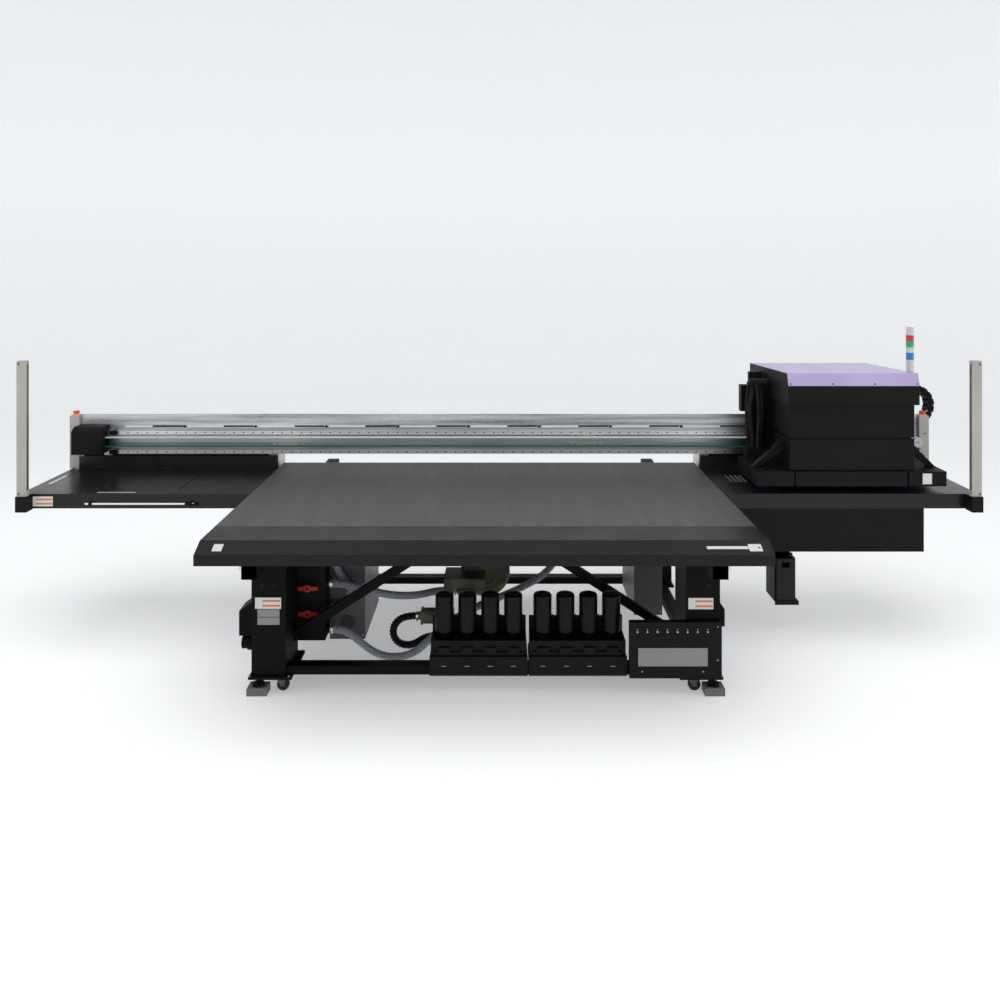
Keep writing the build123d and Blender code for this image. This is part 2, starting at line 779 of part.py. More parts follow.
def left_wing():
    x0 = left_end_x + wing_end_gap
    x1 = table_x - half_table - arm_gap
    top = pan(x0, x1, wing_front_y, wing_back_y, wing_top_z - wing_height, wing_top_z, sheet)
    back = block(left_end_x + end_cover_width + 1, x1, wing_back_y, wing_back_y + sheet, wing_top_z, beam_z - 12)
    return [top, back, wing_floor(x0, x1)]


def right_wing():
    """Wing with two openings: the wiper bay beside the table and the cap bay under the parked heads."""
    x0 = table_x + half_table + arm_gap
    x1 = right_end_x - wing_end_gap
    top = pan(x0, x1, wing_front_y, wing_back_y, wing_top_z - wing_height, wing_top_z, sheet)
    for a, b, c, d in (wiper_bay(), cap_bay()):
        top = top - block(a, b, c, d, wing_top_z - sheet - 1, wing_top_z + 1)
    back = block(x0, right_end_x - end_cover_width - 1, wing_back_y, wing_back_y + sheet, wing_top_z, beam_z - 12)
    a, b, c, d = wiper_bay()
    frame = tray(a + 2, b - 2, c + 2, d - 2, wing_top_z - 60, wing_top_z - sheet, 2)
    for n in range(4):
        x = a + 22 + n * (b - a - 44) / 3
        frame = frame + block(x - 3, x + 3, c + 4, d - 4, wing_top_z - 59, wing_top_z - 12)
    hanger = block(a + 2, b - 2, c - 20, c + 2, wing_top_z - 25, wing_top_z - sheet)
    return [top, back, frame + hanger, wing_floor(x0, x1)]


def wing_floor(x0, x1):
    """Bottom sheet inside a wing's pan."""
    z0 = wing_top_z - wing_height
    return block(x0 + sheet, x1 - sheet, wing_front_y + sheet, wing_back_y - sheet, z0, z0 + 2)


def wiper_bay():
    """Opening of the wiper bay as x0, x1, y0, y1."""
    x0 = table_x + half_table + 108
    return (x0, x0 + 130, wing_back_y - 333, wing_back_y - 84)


def cap_bay():
    """Opening under the parked print heads as x0, x1, y0, y1."""
    x0 = unit_left_x + 90
    return (x0, x0 + 530, cowl_front_y + 90, cowl_front_y + 330)


def maintenance_housing():
    """Housing under the right wing, and the bracket that holds the waste tank below it."""
    x0 = table_x + half_table + 77
    x1 = x0 + housing_width
    z1 = wing_top_z - wing_height
    z0 = z1 - housing_height
    box = tray(x0, x1, wing_front_y, wing_front_y + housing_depth, z0, z1 - sheet, sheet)
    roof = block(x0, x1, wing_front_y, wing_front_y + housing_depth, z1 - sheet, z1)
    x = tank_x - tank_width / 2 - 4
    y = tank_front_y() - 6
    y1 = y + tank_depth + 12
    side = block(x - sheet, x, y, y1, tray_z, z0)
    shelf = block(x, x + tank_width + 18, y, y1, tray_z, tray_z + sheet)
    lip = block(x, x + tank_width + 18, y, y + sheet, tray_z - tray_thickness, tray_z)
    back = block(x, x + tank_width + 18, y1 - sheet, y1, tray_z + sheet, z0)
    return [box, roof, side + shelf + lip + back]


def tank_front_y():
    return wing_front_y + 169


def waste_tank():
    """Waste ink can standing on its bracket, with a grip recess and a cap."""
    x = tank_x
    y0 = tank_front_y()
    z0 = tray_z + sheet
    can = block(x - tank_width / 2, x + tank_width / 2, y0, y0 + tank_depth, z0, z0 + tank_height)
    can = fillet(can.edges().filter_by(Axis.Z), 14)
    grip = block(x - 22, x + 22, y0 - 1, y0 + tank_depth + 1, z0 + tank_height - 52, z0 + tank_height - 22)
    can = can - grip
    cap = round_bar("z", 18, z0 + tank_height, z0 + tank_height + 20, (x + 34, y0 + 40))
    return [can + cap]


def cap_station():
    """Tray of head caps that rises to the parked heads."""
    a, b, c, d = cap_bay()
    z1 = wing_top_z - 4
    base = block(a + 5, b - 5, c + 5, d - 5, z1 - 60, z1 - 14)
    for row in range(2):
        for column in range(4):
            x = a + 66 + column * 132
            y = c + 65 + row * 110
            cap = block(x - 42, x + 42, y - 20, y + 20, z1 - 14, z1)
            cap = cap - block(x - 36, x + 36, y - 14, y + 14, z1 - 8, z1 + 1)
            base = base + cap
    return [base]


def curtain_x(side):
    """Left edge of a light curtain's bracket."""
    inset = 24
    if side < 0:
        return left_end_x + inset
    return right_end_x - inset - bracket_width


def curtain_brackets():
    solids = []
    for side in (-1, 1):
        x0 = curtain_x(side)
        solids.append(block(x0, x0 + bracket_width, wing_front_y - bracket_depth, wing_front_y,
                            wing_top_z - bracket_height, wing_top_z))
    return solids


def curtain_posts():
    """Light curtain profiles with a window groove on the side that faces across the machine."""
    solids = []
    for side in (-1, 1):
        x0 = curtain_x(side) + (bracket_width - post_width) / 2
        y0 = wing_front_y - bracket_depth + 8
        post = block(x0, x0 + post_width, y0, y0 + post_depth, wing_top_z, wing_top_z + post_height)
        window_x = x0 + post_width if side < 0 else x0
        groove = block(window_x - 3, window_x + 3, y0 + 8, y0 + 22, wing_top_z + 30, wing_top_z + post_height - 15)
        solids.append(post - groove)
    return solids


def signal_tower():
    """Signal lamp on a pole from the back of the trough: foot, pole and six stacked modules."""
    x = right_end_x - 26
    y = beam_y + trough_depth + 22
    top_z = table_height + 869
    heights = (74, 47, 35, 39, 39, 55)
    z = top_z - sum(heights)
    foot = block(x - 90, x + 22, beam_y + trough_depth, beam_y + beam_depth, beam_top_z, beam_top_z + 20)
    pole = round_bar("z", 10, beam_top_z + 20, z, (x, y))
    solids = [foot, pole]
    for height in heights:
        solids.append(round_bar("z", 25, z, z + height, (x, y)))
        z = z + height
    return solids


def drive_belt():
    """Toothed belt loop as two runs and a half turn round each pulley."""
    inner = pulley_radius + shaft_fit
    outer = inner + belt_thickness
    y0 = belt_y - belt_width / 2
    y1 = belt_y + belt_width / 2
    solids = []
    for sign in (-1, 1):
        z = belt_z + sign * (inner + belt_thickness / 2)
        solids.append(block(left_pulley_x, right_pulley_x, y0, y1, z - belt_thickness / 2, z + belt_thickness / 2))
    for x, x0, x1 in ((left_pulley_x, left_pulley_x - 2 * outer, left_pulley_x),
                      (right_pulley_x, right_pulley_x, right_pulley_x + 2 * outer)):
        ring = round_bar("y", outer, y0, y1, (x, belt_z)) - round_bar("y", inner, y0 - 1, y1 + 1, (x, belt_z))
        solids.append(ring & block(x0, x1, y0, y1, belt_z - outer, belt_z + outer))
    return solids


def belt_pulley(x):
    """Flanged pulley on its shaft."""
    y0 = belt_y - belt_width / 2
    y1 = belt_y + belt_width / 2
    wheel = round_bar("y", pulley_radius, y0, y1, (x, belt_z))
    for start, end in ((y0 - 3, y0 - 0.4), (y1 + 0.4, y1 + 3)):
        wheel = wheel + round_bar("y", pulley_radius + 5, start, end, (x, belt_z))
    wheel = wheel + round_bar("y", pulley_radius - 2, y0 - 3, y1 + 3, (x, belt_z))
    return [wheel - round_bar("y", pulley_shaft_radius + shaft_fit, y0 - 5, y1 + 5, (x, belt_z))]


# ---------------------------------------------------------------- cable chain

def chain_lower():
    """Resting run of the cable chain on the trough's floor."""
    return [block(chain_anchor_x, chain_bend_x - 1, chain_y - chain_width / 2, chain_y + chain_width / 2,
                  chain_floor_z, chain_floor_z + chain_height)]


def chain_bend():
    """Rolling bend of the cable chain."""
    y0 = chain_y - chain_width / 2
    y1 = chain_y + chain_width / 2
    z = chain_floor_z + chain_bend_radius
    inner = chain_bend_radius - chain_height
    ring = round_bar("y", chain_bend_radius, y0, y1, (chain_bend_x, z))
    ring = ring - round_bar("y", inner, y0 - 1, y1 + 1, (chain_bend_x, z))
    right = block(chain_bend_x, chain_bend_x + chain_bend_radius, y0, y1, chain_floor_z,
                  chain_floor_z + 2 * chain_bend_radius)
    return [ring & right]


def chain_top_z():
    return chain_floor_z + 2 * chain_bend_radius


def chain_upper():
    """Short run of the cable chain from its bend to the carriage."""
    return [block(plate_left_x + plate_width + 60, chain_bend_x - 1, chain_y - chain_width / 2,
                  chain_y + chain_width / 2, chain_top_z() - chain_height, chain_top_z())]


# ---------------------------------------------------------------- carriage

def carriage_plate():
    """Back plate on its bearing blocks, with the side column, control box, lift rails and chain bracket."""
    x0 = plate_left_x
    x1 = x0 + plate_width
    y0 = plate_y
    y1 = plate_y + plate_wall
    solids = [block(x0, x1, y0, y1, plate_z, plate_top_z)]
    for lift in (upper_guide_lift, lower_guide_lift):
        z = table_height + lift
        half = beam_guide_size / 2
        groove = block(x0, x1, beam_y - beam_guide_depth - gap, beam_y + 1, z - half - gap, z + half + gap)
        for start in (x0 + 60, x1 - 180):
            bearing = block(start, start + 120, y1, beam_y - 6, z - half - 8, z + half + 8)
            solids.append(bearing - groove)
    solids.append(block(x0, x0 + column_width, y0 - 30, y0, plate_z, column_top_z))
    solids.append(block(x0 - 45, x0, y0 - 15, y0 + 40, table_height + 366, table_height + 528))
    for x in lift_rail_places():
        solids.append(block(x - 10, x + 10, y0 - 16, y0, lift_rail_z, lift_rail_top_z))
    bracket = block(x1, x1 + 60, y0, y1, chain_top_z() - chain_height, chain_top_z())
    arm = block(x1 + 50, x1 + 60, y1, chain_y + chain_width / 2, chain_top_z() - chain_height, chain_top_z())
    solids.append(bracket + arm)
    clamp_z = belt_z + pulley_radius + shaft_fit + belt_thickness
    clamp = block(x0 + 300, x0 + 380, y1, belt_y + belt_width / 2, clamp_z + gap, clamp_z + 8)
    solids.append(clamp)
    return solids


def lift_rail_places():
    return (unit_left_x + 150, unit_left_x + unit_width - 150)


def head_frame():
    """Lifting frame behind the cowls: back plate with rail shoes, head box with its deck, print heads."""
    x0 = unit_left_x + 30
    x1 = unit_left_x + unit_width - 30
    y1 = plate_y - 22
    y0 = y1 - 12
    deck_z = skirt_z + skirt_height
    heads_top = table_height + 40
    solids = [block(x0, x1, y0, y1, deck_z, table_height + 540)]
    for x in lift_rail_places():
        for z in (table_height + 180, table_height + 440):
            shoe = block(x - 22, x + 22, y1, plate_y - 3, z, z + 70)
            groove = block(x - 10 - gap, x + 10 + gap, plate_y - 16 - gap, plate_y, z - 1, z + 71)
            solids.append(shoe - groove)
    bay = skirt_bays()[1]
    box_y0 = skirt_y()[0] + 40
    box_y1 = skirt_y()[1] - 12
    solids.append(tray(bay[0] + 12, bay[1] - 12, box_y0, box_y1, heads_top, deck_z, 8))
    solids.append(block(bay[0] + 12, bay[1] - 12, box_y0, y0, deck_z, deck_z + 4))
    a, b, c, d = cap_bay()
    for row in range(2):
        for column in range(4):
            x = a + 66 + column * 132
            y = c + 65 + row * 110
            solids.append(block(x - 38, x + 38, y - 16, y + 16, table_height + 22, heads_top))
    return solids


def front_cowls():
    """Lower and middle front covers, each a sheet wrapped round three sides."""
    x0 = unit_left_x
    x1 = x0 + unit_width
    solids = []
    for z0, height in ((lower_cowl_z, lower_cowl_height), (middle_cowl_z, middle_cowl_height)):
        outer = block(x0, x1, cowl_front_y, cowl_back_y, z0, z0 + height)
        core = block(x0 + sheet, x1 - sheet, cowl_front_y + sheet, cowl_back_y + 1, z0 - 1, z0 + height + 1)
        wrap = outer - core
        corners = [edge for edge in wrap.edges().filter_by(Axis.Z)
                   if abs(edge.center().Y - cowl_front_y) < 0.01]
        solids.append(fillet(corners, 2.5))
    return solids


def upper_cowl():
    """Upper cover, wider and further forward than the lower ones."""
    x0 = unit_left_x - cowl_overhang
    x1 = unit_left_x + unit_width + cowl_overhang
    y0 = cowl_front_y - band_proud
    outer = block(x0, x1, y0, cowl_back_y, band_z, band_z + band_height)
    core = block(x0 + sheet, x1 - sheet, y0 + sheet, cowl_back_y + 1, band_z - 1, band_z + band_height + 1)
    wrap = outer - core
    corners = [edge for edge in wrap.edges().filter_by(Axis.Z) if abs(edge.center().Y - y0) < 0.01]
    return [fillet(corners, 2.5)]


def lid_cover():
    """Lid with a leaning front face and a top that falls slightly to the back."""
    x0 = unit_left_x - cowl_overhang
    x1 = unit_left_x + unit_width + cowl_overhang
    y0 = cowl_front_y - band_proud
    z0 = band_z + band_height
    top = z0 + lid_height
    outline = [(y0, z0), (y0 + lid_front_lean, top), (lid_back_y, top - lid_fall),
               (lid_back_y, z0 - lid_skirt), (cowl_back_y, z0 - lid_skirt), (cowl_back_y, z0)]
    inner = [(y0 + 3, z0 - 1), (y0 + 3, z0), (y0 + lid_front_lean + 3, top - 3), (lid_back_y - 3, top - lid_fall - 3),
             (lid_back_y - 3, z0 - lid_skirt - 1), (cowl_back_y + 3, z0 - lid_skirt - 1), (cowl_back_y + 3, z0 - 1)]
    return [prism_x(outline, x0, x1) - prism_x(inner, x0 + 3, x1 - 3)]


def skirt_bays():
    """Left and right edges of the three bays along the bottom of the unit."""
    left = skirt_left_x
    right = skirt_left_x + skirt_width
    return ((left, left + lamp_bay_width),
            (left + lamp_bay_width + bay_gap, right - lamp_bay_width - bay_gap),
            (right - lamp_bay_width, right))


def skirt_y():
    """Front and back of the skirt."""
    y0 = cowl_front_y - 15
    return (y0, y0 + skirt_depth)


def skirt():
    """Three covers along the bottom, the struts that carry the outer two, and the hose box."""
    y0, y1 = skirt_y()
    z1 = skirt_z + skirt_height
    solids = []
    bays = skirt_bays()
    for index, (x0, x1) in enumerate(bays):
        cover = block(x0, x1, y0, y1, skirt_z, z1)
        core = block(x0 + sheet, x1 - sheet, y0 + sheet, y1 - sheet, skirt_z - 1,
                     z1 + 1 if index == 1 else z1 - sheet)
        solids.append(cover - core)
    for side in (-1, 1):
        foot_x = bays[0][0] + 8 if side < 0 else bays[2][1] - 8
        top_x = unit_left_x if side < 0 else unit_left_x + unit_width
        outline = [(foot_x, z1), (foot_x - side * 40, z1), (top_x, z1 + 105), (top_x, z1 + 150),
                   (top_x + side * 20, z1 + 150)]
        strut = prism_y(outline, y0 + 110, y0 + 150)
        step_x = (top_x - foot_x) / 5
        for n in (1, 2.4):
            px = foot_x + n * step_x
            pz = z1 + 8 + n * 30
            window = [(px, pz), (px + step_x * 0.9, pz + 22), (px + step_x * 0.9, pz + 46), (px, pz + 22)]
            strut = strut - prism_y(window, y0 + 100, y0 + 160)
        solids.append(strut)
    hose_box = block(skirt_left_x + 32, unit_left_x - 42, y1 - 80, y1, z1, z1 + 60)
    solids.append(hose_box)
    return solids


def uv_lamps():
    """Lamp block in each outer bay, facing down."""
    y0, y1 = skirt_y()
    bays = skirt_bays()
    return [block(x0 + 12, x1 - 12, y0 + 40, y1 - 40, skirt_z + 4, skirt_z + skirt_height - sheet)
            for x0, x1 in (bays[0], bays[2])]


def carriage_hoses():
    """Two hoses from a bracket beside the lid down to the hose box."""
    y = skirt_y()[1] - 40
    z0 = skirt_z + skirt_height + 60
    top = table_height + 560
    solids = []
    for x, bow, radius in ((1499, -14, 14), (1545, 10, 14)):
        points = [(x, y, z0), (x, y, z0 + 70), (x + bow, y, z0 + 160), (x + bow * 1.3, y, z0 + 250),
                  (x, y, top - 70), (x, y, top)]
        solids.extend(hose(points, 2 * radius))
    solids.append(block(1480, unit_left_x - cowl_overhang, y - 20, y + 20, top, top + 24))
    return solids


# ---------------------------------------------------------------- write every node

nodes = {
    "base_frame": base_frame(),
    "floor_pads": floor_pads(),
    "levelling_feet": levelling_feet(),
    "table_plate": table_plate(),
    "table_cover": table_cover(),
    "vacuum_chamber": vacuum_chamber(),
    "rail_beams": rail_beams(),
    "bridge_guides": bridge_guides(),
    "ink_racks": ink_racks(),
    "ink_panel": ink_panel(),
    "valve_box": valve_box(),
    "blower": blower(),
    "cabinets": cabinets(),
    "leg_boxes": leg_boxes(),
    "vacuum_hose_upper": hose(upper_route, hose_diameter),
    "vacuum_hose_return": hose(return_route, hose_diameter),
    "vacuum_hose_long": hose(long_route, hose_diameter),
    "blower_hose": hose(black_route, hose_diameter),
    "bridge_arms": bridge_arms(),
    "beam": beam(),
    "beam_guides": beam_guides(),
    "chain_trough": chain_trough(),
    "drive_cover": drive_cover(),
    "end_covers": end_covers(),
    "left_wing": left_wing(),
    "right_wing": right_wing(),
    "maintenance_housing": maintenance_housing(),
    "waste_tank": waste_tank(),
    "cap_station": cap_station(),
    "curtain_brackets": curtain_brackets(),
    "curtain_posts": curtain_posts(),
    "signal_tower": signal_tower(),
    "stop_button_left": stop_button(left_end_x),
    "stop_button_right": stop_button(right_end_x - end_cover_width),
    "drive_belt": drive_belt(),
    "drive_pulley": belt_pulley(left_pulley_x),
    "idler_pulley": belt_pulley(right_pulley_x),
    "chain_lower": chain_lower(),
    "chain_bend": chain_bend(),
    "chain_upper": chain_upper(),
    "carriage_plate": carriage_plate(),
    "head_frame": head_frame(),
    "front_cowls": front_cowls(),
    "upper_cowl": upper_cowl(),
    "lid_cover": lid_cover(),
    "skirt": skirt(),
    "uv_lamps": uv_lamps(),
    "carriage_hoses": carriage_hoses(),
}
for index, name in enumerate(("left", "right")):
    nodes[f"ink_bottles_{name}"] = ink_bottles(index)
for name, height in valve_heights.items():
    nodes[f"valve_lever_{name}"] = valve_lever(height)
for name, (x, y) in corner_places(caster_set_back, caster_x).items():
    nodes[f"caster_fork_{name}"] = caster_fork(x, y)
    nodes[f"caster_wheel_{name}"] = caster_wheel(x, y)

os.makedirs("parts", exist_ok=True)
for name, pieces in nodes.items():
    solids = [solid for piece in pieces for solid in piece.solids()]
    export_step(Compound(solids), f"parts/{name}.step")
print(len(nodes), "nodes")
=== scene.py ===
import math

import bmesh
import bpy
from mathutils import Matrix, Vector


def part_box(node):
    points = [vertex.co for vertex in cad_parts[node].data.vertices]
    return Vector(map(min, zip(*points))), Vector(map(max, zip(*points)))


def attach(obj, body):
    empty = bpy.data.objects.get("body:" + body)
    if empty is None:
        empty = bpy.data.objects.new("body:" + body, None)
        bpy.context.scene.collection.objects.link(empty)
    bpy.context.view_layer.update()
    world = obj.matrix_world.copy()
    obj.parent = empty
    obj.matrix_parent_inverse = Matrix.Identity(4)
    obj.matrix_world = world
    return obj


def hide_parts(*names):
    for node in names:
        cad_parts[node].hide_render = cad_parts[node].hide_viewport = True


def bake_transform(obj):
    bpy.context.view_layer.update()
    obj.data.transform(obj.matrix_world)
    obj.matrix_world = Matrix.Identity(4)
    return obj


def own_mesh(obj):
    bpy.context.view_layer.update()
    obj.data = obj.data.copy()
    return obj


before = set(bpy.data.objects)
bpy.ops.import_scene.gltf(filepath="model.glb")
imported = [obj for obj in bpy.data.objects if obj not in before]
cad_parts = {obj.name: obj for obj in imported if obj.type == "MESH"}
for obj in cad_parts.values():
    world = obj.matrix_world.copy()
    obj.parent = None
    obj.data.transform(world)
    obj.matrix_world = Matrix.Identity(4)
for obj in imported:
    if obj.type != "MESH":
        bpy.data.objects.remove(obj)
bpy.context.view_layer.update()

# Flatbed UV printer: finishes for the CAD nodes, and the small pieces that dress them. Metres.

MM = 0.001
PROUD = 0.4 * MM           # how far a label or a strip stands off the sheet it is on
belt_low, belt_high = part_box("drive_belt")
belt_middle = (belt_low.z + belt_high.z) / 2


# ---------------------------------------------------------------- finishes

finishes = {}              # every finish by its name


class Value:
    """A socket in a material. Maths on it adds Math nodes."""

    def __init__(self, finish, socket):
        self.finish = finish
        self.socket = socket

    def math(self, operation, *others):
        settings = {"operation": operation}
        return self.finish.node("ShaderNodeMath", settings, dict(enumerate((self, *others))))

    def __add__(self, other):
        return self.math("ADD", other)

    def __sub__(self, other):
        return self.math("SUBTRACT", other)

    def __rsub__(self, other):
        return self.finish.node("ShaderNodeMath", {"operation": "SUBTRACT"}, {0: other, 1: self})

    def __mul__(self, other):
        return self.math("MULTIPLY", other)

    def __truediv__(self, other):
        return self.math("DIVIDE", other)

    def above(self, edge, softness):
        """0 below the edge and 1 above it, with a soft step between."""
        ramp = {"interpolation_type": "SMOOTHSTEP"}
        return self.finish.node("ShaderNodeMapRange", ramp,
                                {0: self, 1: edge - softness, 2: edge + softness, 3: 0.0, 4: 1.0})

    __radd__ = __add__
    __rmul__ = __mul__


class Finish:
    """One material, built round a Principled shader."""

    def __init__(self, name, colour, roughness, metallic=0.0, specular=0.5, **sockets):
        self.material = bpy.data.materials.new(f"{name}_finish")
        finishes[name] = self.material
        self.material.use_nodes = True
        self.tree = self.material.node_tree
        self.shader = self.tree.nodes["Principled BSDF"]
        self.put(self.shader.inputs["Base Color"], (*colour, 1.0))
        self.put(self.shader.inputs["Roughness"], roughness)
        self.put(self.shader.inputs["Metallic"], metallic)
        self.put(self.shader.inputs["Specular IOR Level"], specular)
        for socket, value in sockets.items():
            self.put(self.shader.inputs[socket.replace("_", " ").title()], value)

    def put(self, socket, value):
        if isinstance(value, Value):
            self.tree.links.new(value.socket, socket)
        else:
            socket.default_value = value

    def node(self, kind, settings, inputs, output=0):
        made = self.tree.nodes.new(kind)
        for key, value in settings.items():
            setattr(made, key, value)
        for key, value in inputs.items():
            self.put(made.inputs[key], value)
        return Value(self, made.outputs[output])

    def place(self, stretch=(1.0, 1.0, 1.0)):
        """Position on the object, stretched along each axis."""
        where = self.node("ShaderNodeTexCoord", {}, {}, "Object")
        return self.node("ShaderNodeMapping", {}, {"Vector": where, "Scale": stretch})

    def noise(self, scale, detail=3.0, stretch=(1.0, 1.0, 1.0)):
        inputs = {"Vector": self.place(stretch), "Scale": scale, "Detail": detail}
        return self.node("ShaderNodeTexNoise", {}, inputs)

    def cells(self, scale, stretch=(1.0, 1.0, 1.0), feature="F1", output="Distance"):
        return self.node("ShaderNodeTexVoronoi", {"feature": feature},
                         {"Vector": self.place(stretch), "Scale": scale}, output)

    def axis(self, letter):
        where = self.node("ShaderNodeTexCoord", {}, {}, "Object")
        return self.node("ShaderNodeSeparateXYZ", {}, {0: where}, letter)

    def mix(self, share, first, second):
        mixed = self.tree.nodes.new("ShaderNodeMix")
        mixed.data_type = "RGBA"
        self.put(mixed.inputs[0], share)
        self.put(mixed.inputs[6], first if isinstance(first, Value) else (*first, 1.0))
        self.put(mixed.inputs[7], second if isinstance(second, Value) else (*second, 1.0))
        return Value(self, mixed.outputs[2])

    def edges(self, radius):
        """1 on worn outer edges, 0 on the flats."""
        rounded = self.node("ShaderNodeBevel", {"samples": 4}, {"Radius": radius})
        true = self.node("ShaderNodeNewGeometry", {}, {}, "Normal")
        turned = self.node("ShaderNodeVectorMath", {"operation": "DOT_PRODUCT"},
                           {0: rounded, 1: true}, "Value")
        return (1.0 - turned).above(0.12, 0.1)

    def colour(self, value):
        self.put(self.shader.inputs["Base Color"], value)
        return self

    def roughness(self, value):
        self.put(self.shader.inputs["Roughness"], value)
        return self

    def bump(self, height, distance, strength=1.0):
        raised = self.node("ShaderNodeBump", {},
                           {"Height": height, "Distance": distance, "Strength": strength})
        self.put(self.shader.inputs["Normal"], raised)
        return self


def painted(name, colour, roughness, specular, wear=0.35):
    """Powder coat: orange peel, a little dust, and paler edges."""
    made = Finish(name, colour, roughness, specular=specular)
    dust = made.noise(1.7, 5.0)
    pale = [min(1.0, c * 1.4 + 0.001) for c in colour]
    bare = [min(1.0, c * 2.0 + 0.03) for c in colour]
    body = made.mix(dust.above(0.55, 0.25) * 0.5, colour, pale)
    rubbed = made.edges(3 * MM) * made.noise(30.0, 2.0).above(0.5, 0.1) * wear
    made.colour(made.mix(rubbed, body, bare))
    made.roughness(made.noise(6.0) * 0.16 + (roughness - 0.08))
    return made.bump(made.noise(400.0, 2.0), 0.02 * MM, 0.25).material


def anodised_table():
    """Dark hard-anodised plate with a fine grid of suction holes and faint scuffs along the travel."""
    made = Finish("table_anodised", (0.06, 0.055, 0.053), 0.42, metallic=0.35, specular=0.5)
    pitch = 1 / (16 * MM)
    dots = made.cells(pitch, feature="F1")
    holes = 1.0 - dots.above(0.11, 0.04)
    scuffs = made.noise(3.0, 6.0, (6.0, 0.5, 1.0))
    cloud = made.noise(0.9, 3.0)
    body = made.mix(cloud.above(0.5, 0.3) * 0.5, (0.070, 0.064, 0.061), (0.088, 0.084, 0.083))
    body = made.mix(scuffs.above(0.62, 0.1) * 0.18, body, (0.11, 0.105, 0.10))
    made.colour(made.mix(holes * 0.35, body, (0.02, 0.02, 0.02)))
    made.roughness(scuffs * 0.18 + 0.4)
    return made.bump(1.0 - holes, 0.25 * MM, 0.25).material


def galvanised():
    """Zinc-coated sheet: spangle, and long rolling streaks."""
    made = Finish("galvanised", (0.6, 0.61, 0.62), 0.42, metallic=0.85)
    spangle = made.cells(70.0, (0.35, 1.0, 1.0), output="Distance")
    streak = made.noise(5.0, 7.0, (0.18, 1.0, 6.0))
    shade = made.mix(streak.above(0.5, 0.16), (0.26, 0.265, 0.275), (0.80, 0.81, 0.82))
    made.colour(made.mix(spangle.above(0.4, 0.3) * 0.4, shade, (0.52, 0.53, 0.55)))
    made.roughness(streak * 0.3 + 0.24)
    return made.bump(spangle, 0.12 * MM, 0.3).material


def ground_steel(name="ground_steel", colour=(0.86, 0.87, 0.88), along=(0.02, 1.0, 1.0)):
    """Ground or drawn metal with hair lines along its length."""
    made = Finish(name, colour, 0.3, metallic=1.0)
    lines = made.noise(900.0, 3.0, along)
    cloud = made.noise(2.2, 4.0, (0.4, 1.0, 2.0))
    dark = [c * 0.62 for c in colour]
    made.colour(made.mix(cloud.above(0.48, 0.2) * 0.7, dark, colour))
    made.roughness(lines * 0.2 + 0.22)
    return made.bump(lines, 0.03 * MM, 0.4).material


def moulded(name, colour, roughness, specular=0.4, coat=0.0):
    """Moulded plastic with a faint spark-eroded grain."""
    made = Finish(name, colour, roughness, specular=specular, coat_weight=coat, coat_roughness=0.15)
    tone = made.noise(9.0, 3.0)
    pale = [min(1.0, c * 1.35 + 0.001) for c in colour]
    made.colour(made.mix(tone.above(0.5, 0.25) * 0.6, colour, pale))
    made.roughness(tone * 0.14 + (roughness - 0.07))
    return made.bump(made.noise(420.0, 2.0), 0.06 * MM, 0.4).material


def rubber(name, colour):
    made = Finish(name, colour, 0.72, specular=0.25)
    bloom = made.noise(26.0, 4.0)
    pale = [c * 1.8 + 0.01 for c in colour]
    made.colour(made.mix(bloom.above(0.56, 0.16) * 0.5, colour, pale))
    made.roughness(bloom * 0.2 + 0.6)
    return made.bump(made.noise(260.0, 3.0), 0.1 * MM, 0.5).material


def toothed_belt():
    """Toothed belt with a teal facing; the upper run is painted pale, a painted highlight where the light
    from above falls on it.
    """
    made = Finish("toothed_belt", (0.02, 0.09, 0.09), 0.55, specular=0.4)
    teeth = (made.axis("X") * (2 * math.pi / (5 * MM))).math("SINE")
    tone = made.noise(14.0, 3.0)
    lower = made.mix(tone.above(0.5, 0.3) * 0.5, (0.012, 0.10, 0.10), (0.03, 0.17, 0.165))
    # painted highlight: the upper run is made pale for the light falling on it from above
    lit_upper_run = made.axis("Z").above(belt_middle, 10 * MM)
    made.colour(made.mix(lit_upper_run * 0.85, lower, (0.62, 0.64, 0.65)))
    return made.bump(teeth, 0.3 * MM, 0.3).material


def cast_iron():
    """Painted sand casting: coarse skin, oily darker patches."""
    made = Finish("painted_casting", (0.05, 0.052, 0.037), 0.6, specular=0.4)
    skin = made.noise(190.0, 5.0)
    oil = made.noise(8.0, 5.0)
    body = made.mix(oil.above(0.55, 0.12), (0.115, 0.118, 0.078), (0.06, 0.061, 0.044))
    made.colour(made.mix(made.edges(4 * MM) * 0.25, body, (0.15, 0.15, 0.13)))
    made.roughness(oil * 0.3 + 0.4)
    return made.bump(skin, 0.5 * MM, 0.5).material


def lens(name, colour, glow=0.02):
    """Ribbed lens of the signal tower."""
    made = Finish(name, colour, 0.18, specular=0.6, coat_weight=0.6, coat_roughness=0.05)
    ribs = (made.axis("Z") * (2 * math.pi / (4 * MM))).math("SINE")
    tone = made.noise(40.0, 2.0)
    deep = [c * 0.6 for c in colour]
    made.colour(made.mix(tone.above(0.5, 0.3) * 0.5, colour, deep))
    made.put(made.shader.inputs["Emission Color"], (*colour, 1.0))
    made.put(made.shader.inputs["Emission Strength"], glow)
    return made.bump(ribs, 0.3 * MM, 0.3).material


def label_stock(name, colour):
    """Printed film with a slight sheen and no print."""
    made = Finish(name, colour, 0.42, specular=0.45)
    tone = made.noise(55.0, 3.0)
    made.colour(made.mix(tone.above(0.5, 0.3) * 0.4, colour, [c * 0.86 for c in colour]))
    return made.bump(made.noise(300.0, 1.0), 0.03 * MM, 0.3).material


